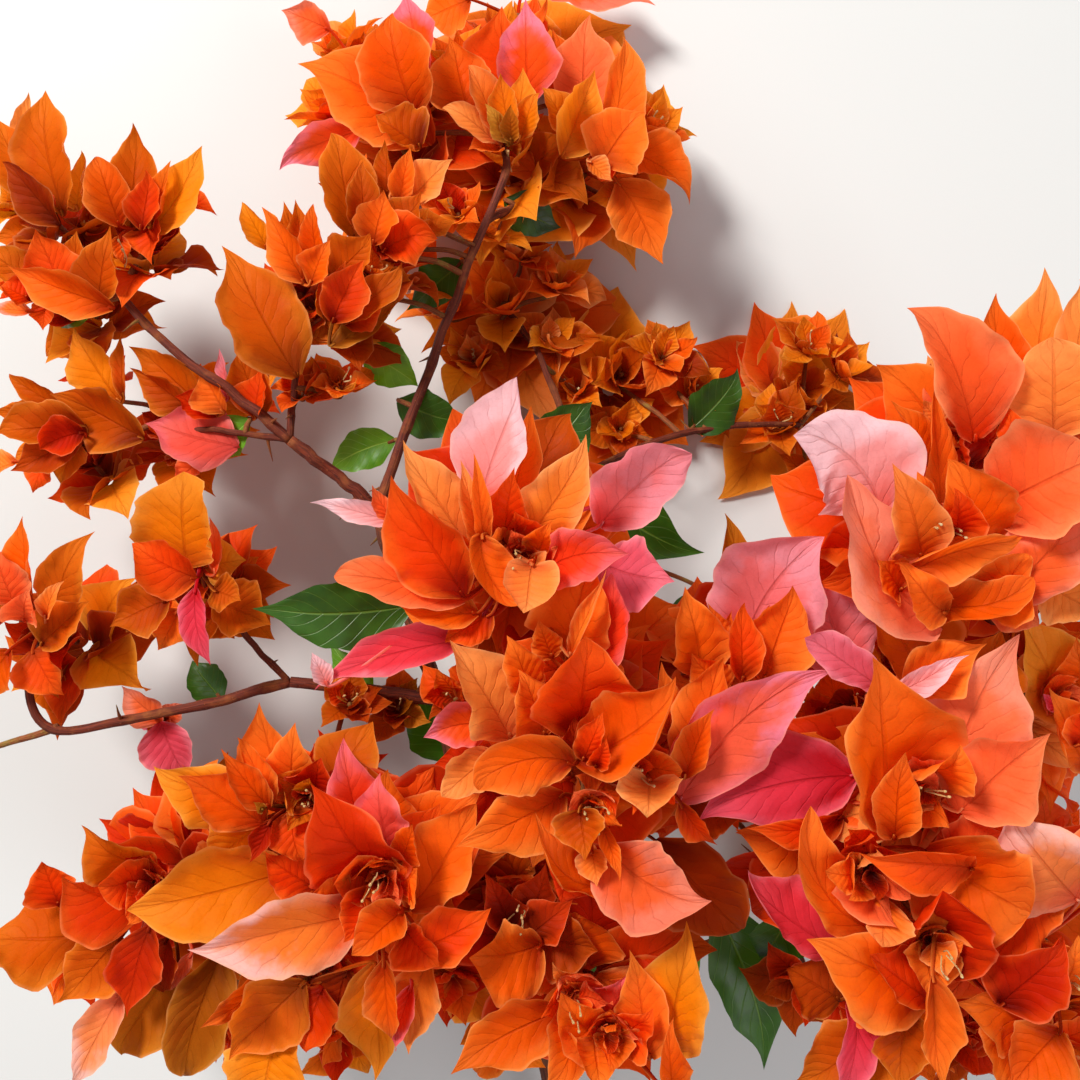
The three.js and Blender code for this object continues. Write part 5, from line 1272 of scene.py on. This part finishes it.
for b, (name, u, v, h, heart_mm, facing, reach_mm, palette) in enumerate(BLOOMS):
    rng = np.random.default_rng(7300 + 13 * b)
    heart, reach = heart_mm / 1000, reach_mm / 1000
    near = palette in ("front", "right", "left")
    centre, axis = CENTRE[name], AXIS[name]
    bunch = Bunch()
    keep_off = []
    for j, (colour, bu, bv, bh, tu, tv, th, wide, options) in enumerate(SHOWN.get(name, ())):
        base, tip = at(bu, bv, h + bh), at(tu, tv, h + th)
        mid = (base + tip) / 2
        inward = centre[:2] - mid[:2]
        lean = 0.30 * inward / max(0.012, np.linalg.norm(inward))
        f = options.get("f")
        face = np.array([f[0], f[1], 1.0]) if f else np.array([lean[0], lean[1], 1.0])
        given = {OPTION[key]: value for key, value in options.items() if key != "f"}
        given.setdefault("wave", 0.03)
        given["cup"] = 0.18 + 1.45 * given.get("cup", 0.4)
        given.setdefault("cup_tip", given["cup"] * rng.uniform(0.35, 1.0))
        given.setdefault("bow", rng.uniform(0.0, 0.35))
        given.setdefault("curl", rng.choice([-0.55, -0.30, 0.35, 0.60]))
        given.setdefault("twist", rng.normal(0, 0.26))
        given.setdefault("lean", rng.normal(0, 0.20))
        given["skew"] = rng.normal(0, 0.08)
        given.setdefault("crinkle", 1.35)
        given["crease"] = rng.uniform(0.04, 0.30)
        wide = wide * (1 + 0.10 * given["cup"] ** 2)
        bunch.add(*blade(base, tip, face, wide * per_unit(h + (bh + th) / 2), phase=1.7 * j + 0.37 * b, nt=26 if near else 18,
                         ns=16 if near else 10, **given), BRACT_ORDER.index(colour), rng.random(), 2)
        CLAWS.append((bunch, bunch.grids[-1], centre - axis * heart * 0.60))
        if np.linalg.norm(tip[:2] - centre[:2]) > heart * 1.2:
            keep_off.append(unit(tip[:2] - centre[:2]))
    told = name in SHOWN
    if near:
        # tight heart, then a lower skirt that shows between the bracts of the table; its outer ring takes the darker
        # 'shade' palette, painted shade between the blooms
        cups = [cup for cup in CUPS if cup[0] == name]
        for host, cu, cv, ch, wide in cups:
            spot = at(cu, cv, h + ch)
            open_cup(spot, unit(axis + np.array([0, 0, 0.8])), bunch, rng, palette, wide * per_unit(h + ch))
        if not cups:
            rosette(centre - axis * heart * 0.42, axis, bunch, rng, palette, 9, reach * 0.8, heart * 0.72, 0.0, 0.42, (14, 8))
        rosette(centre - axis * heart * 0.72, axis, bunch, rng, palette, 9, reach * 1.05, heart, 0.50, 0.85, (16, 9), keep_off, 0.25)
        rosette(centre - axis * heart * 0.85, axis, bunch, rng, "shade", 10, reach * 1.20, heart, 0.72, 1.05, (16, 9), keep_off, 0.40)
    else:
        # a mid bloom's inner rosette takes the dark 'heart' palette and its outer one 'shade_mid': both painted shade
        rosette(centre - axis * heart * (0.75 if told else 0.2), axis, bunch, rng, "heart" if palette == "mid" else palette, 7,
                reach * 0.70, heart * 0.8, 0.0, 0.5, (12, 6))
        rosette(centre - axis * heart * (0.95 if told else 0.70), axis, bunch, rng, "shade_mid" if palette == "mid" else "back", 9,
                reach * (0.95 if palette == "mid" else 1.1), heart, 0.5, 1.0, (13, 7), keep_off, 0.30)
    for c, (host, cu, cv, ch, aim, long_, count, tones) in enumerate(CLUSTER):
        if host != name:
            continue
        rng2 = np.random.default_rng(9100 + c)
        spot, way = at(cu, cv, ch), unit(aim)
        size = long_ * per_unit(ch)
        fine = (15, 8) if near else (12, 7)
        rosette(spot, way, bunch, rng2, tones, count, size, size * 0.52, 0.05, 0.92, fine)
        stalk(spot - way * size * 0.34, way, size * 0.1, 3000 + c, 0.0009)
        if c % 2 == 0:
            filaments(spot, way, size * 0.36, rng2, 2)
    for host, tu, tv, th, count in THROATS:
        if host == name:
            filaments(at(tu, tv, h + th), axis, heart * 0.8, rng, count)
    BUNCHES.append((name, bunch))
    line = curve_through([centre - axis * heart * 0.45, centre - axis * heart * (1.45 if near else 1.55 if told else 1.30)], 0.0020)
    line[:, 2] = np.maximum(line[:, 2], 0.0016)
    STALKS.add(*tube(line, np.linspace(0.0009, 0.0011, len(line)), 7, 0.06, 2000 + b), 0, 0.5)
    if not any(l[4] == name for l in LIMBS):
        stalk(centre - axis * heart * 0.62, axis, heart * 0.12, 900 + b)

# a small half-open bloom with two broad pink bracts, under the lower left bough
SMALL = Bunch()
rng = np.random.default_rng(9400)
spot, way = at(160, 722, 96), unit((-.1, -.1, 1))
size = 34 * per_unit(96)
rosette(spot, way, SMALL, rng, "dim_pink", 7, size, size * 0.52, 0.05, 0.92, (15, 8))
stalk(spot - way * size * 0.34, way, size * 0.1, 3200, 0.0009)
for colour, foot, tip, wide, phase in (("rose", (160, 722, 103), (188, 776, 97), 62, 0.7), ("coral_pink", (162, 722, 101), (124, 686, 101), 42, 2.1)):
    SMALL.add(*blade(at(*foot), at(*tip), (-.1, -.1, 1), wide * per_unit(100), bow=.15, curl=-.3, cup=.6, twist=.15, wave=.05,
                     phase=phase, crease=.12, crinkle=.7, nt=24, ns=14), BRACT_ORDER.index(colour), rng.random(), 2)
BUNCHES.append(("small_low_bloom", SMALL))

settle([grid for name, bunch in BUNCHES for grid in bunch.grids])

# the claw of each bract of the table: from the foot of its bloom to the foot of the bract
for bunch, (points, uv, material, tint, rank), foot in CLAWS:
    start = points[0].mean(0)
    span = np.linalg.norm(start - foot)
    if span < 0.0015:
        continue
    along = unit(points[2].mean(0) - start)
    line = curve_through([foot, (foot + start) / 2 - along * min(span * 0.12, 0.002), start, start + along * 0.002], 0.0020)
    line[:, 2] = np.maximum(line[:, 2], 0.0014)
    claw, claw_uv = tube(line, np.linspace(0.0008, 0.0005, len(line)), 6, 0, 1)
    bunch.add(claw, claw_uv * np.array([1, 0.06]), material, tint)
for name, bunch in BUNCHES:
    piece = bunch.build(name + "_bracts", [BRACTS[m] for m in BRACT_ORDER], "bract")
    if name in CENTRE:
        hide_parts(name)

stalks = STALKS.build("flower_stalks", [STALK], "bark")
threads = THREADS.build("flower_threads", [THREAD], "bract")

# ------------------------------------------------------------------ leaves, side twigs and thorns
# foot and tip (across, down, height), width in view units, bright or dark, sway, curl
LEAVES = [
    ((412, 606, 128), (256, 606, 138), 78, 0, -.12, -.2),
    ((560, 470, 92), (700, 556, 86), 84, 0, .1, -.3),
    ((545, 455, 84), (590, 400, 84), 60, 0, 0, -.2),
    ((362, 352, 96), (420, 386, 92), 46, 1, -.2, -.4),
    ((398, 400, 92), (470, 420, 84), 52, 0, .2, -.3),
    ((395, 440, 90), (330, 470, 74), 44, 1, .2, -.3),
    ((700, 590, 108), (655, 690, 104), 66, 0, .1, -.3),
    ((716, 905, 110), (762, 1060, 92), 76, 0, -.1, -.4),
    ((505, 880, 84), (555, 790, 96), 60, 0, .1, -.3),
    ((545, 985, 70), (610, 905, 90), 60, 0, 0, -.3),
    ((640, 900, 90), (700, 990, 84), 60, 1, 0, -.3),
    ((455, 760, 84), (400, 690, 84), 60, 0, .1, -.3),
    ((372, 690, 100), (330, 640, 96), 46, 1, 0, -.3),
    ((222, 700, 106), (190, 660, 100), 40, 0, 0, -.3),
    ((462, 262, 84), (410, 310, 66), 46, 0, 0, -.3),
    ((505, 200, 70), (560, 230, 60), 46, 0, .1, -.3),
    ((690, 430, 40), (740, 370, 40), 56, 0, .1, -.3),
    ((880, 775, 120), (850, 700, 110), 60, 0, .1, -.3),
    ((800, 900, 130), (760, 960, 104), 62, 0, .1, -.3),
    ((430, 940, 84), (400, 1020, 66), 60, 0, .1, -.3),
    ((250, 920, 60), (230, 990, 50), 60, 0, .1, -.3),
    ((100, 305, 106), (60, 330, 96), 36, 1, .1, -.3),
    ((250, 420, 106), (215, 462, 92), 40, 1, .1, -.3),
]
LEAF_BUNCH = Bunch()
for j, (foot, tip, wide, bright, sway, curl) in enumerate(LEAVES):
    rng = np.random.default_rng(6400 + j)
    a, z = at(*foot), at(*tip)
    gap = np.linalg.norm(ALL_LINE - a, axis=1)
    start = ALL_LINE[int(np.argmin(gap))]
    along = unit(z - a)
    line = curve_through([start, (start + a) / 2 + np.array([0, 0, 0.0015]), a, a + along * 0.003], 0.0016)
    TWIGS.add(*tube(line, np.linspace(0.0011, 0.0007, len(line)), 7, 0.05, 6500 + j), 0, 0.5)
    LEAF_BUNCH.add(*blade(a, z, (rng.normal(0, .25), rng.normal(0, .25), 1), wide * per_unit((foot[2] + tip[2]) / 2), bow=.12, curl=curl,
                          cup=.35, twist=rng.normal(0, .2), wave=.04, waves=2.2, phase=rng.random() * 6.28, sway=sway, nt=24, ns=12),
                   bright, rng.random())
line = curve_through([at(58, 727, 112), at(36, 735, 111), at(8, 743, 109), at(-16, 751.5, 107)], 0.0016)
TWIGS.add(*tube(line, np.linspace(0.0014, 0.0009, len(line)), 8, 0.06, 6600), 0, 0.5)
LEAF_BUNCH.add(*blade(line[-2], at(-44, 790, 100), (-.1, .15, 1), 44 * per_unit(104), bow=.12, curl=-.3, cup=.35, twist=.1, wave=.04,
                      waves=2.2, phase=2.3, sway=.1, nt=24, ns=12), 0, 0.5)
leaves = LEAF_BUNCH.build("leaves", [LEAF_DARK, LEAF_BRIGHT], "leaf")

# thorns: short, curved, one in the angle of some joints
for i, (name, line, radius, far, knots) in enumerate(LIMB_LINES):
    rng = np.random.default_rng(7700 + i)
    for x in knots[::2]:
        j = int(np.searchsorted(far, x))
        if j < 2 or j > len(line) - 3:
            continue
        along = unit(line[j + 1] - line[j - 1])
        out = rng.normal(0, 1, 3)
        out = unit(out - out.dot(along) * along)
        if line[j][2] < 0.02:
            out[2] = abs(out[2])
        long_ = rng.uniform(0.005, 0.0095)
        end = line[j] + out * (radius[j] + long_) - along * long_ * 0.25
        tip_line = curve_through([line[j], line[j] + out * radius[j] * 1.2, end], 0.0012)
        TWIGS.add(*tube(tip_line, np.linspace(0.0009, 0.00012, len(tip_line)), 6, 0, 1), 0, 0.5)
twigs = TWIGS.build("side_twigs", [STALK], "bark")

# ------------------------------------------------------------------ stage
bpy.ops.mesh.primitive_plane_add(size=6, location=(0, 0, 0))
floor = bpy.context.object
floor.name = "floor"
k = Nodes("floor_plain")
shader = k.node("ShaderNodeBsdfPrincipled")
shader.inputs["Base Color"].default_value = (0.62, 0.615, 0.60, 1)
shader.inputs["Roughness"].default_value = 0.9
k.put(k.out.inputs[0], shader.outputs[0])
floor.data.materials.append(k.material)

world = bpy.data.worlds.new("studio")
bpy.context.scene.world = world
world.use_nodes = True
world.node_tree.nodes["Background"].inputs[0].default_value = (0.95, 0.97, 1.0, 1)
world.node_tree.nodes["Background"].inputs[1].default_value = 0.38


def area(name, place, target, size, power, colour):
    lamp = bpy.data.lights.new(name, "AREA")
    lamp.shape, lamp.size, lamp.energy, lamp.color = "DISK", size, power, colour
    o = bpy.data.objects.new(name, lamp)
    o.location = place
    direction = np.array(target, float) - np.array(place, float)
    from mathutils import Vector
    o.rotation_euler = Vector(direction).to_track_quat("-Z", "Y").to_euler()
    bpy.context.collection.objects.link(o)


area("key", (-0.75, 0.85, 1.15), (0, 0, 0.08), 0.45, 33, (1.0, 0.985, 0.95))
area("fill", (0.9, -0.5, 0.9), (0, 0, 0.08), 0.9, 7.5, (0.97, 0.98, 1.0))
bpy.context.scene.view_settings.view_transform = "Standard"
bpy.context.scene.view_settings.look = "None"
# few bounces of light, which keeps the dense bracts quick to render
paths = bpy.context.scene.cycles
paths.max_bounces, paths.diffuse_bounces, paths.glossy_bounces, paths.transmission_bounces = 4, 3, 1, 3
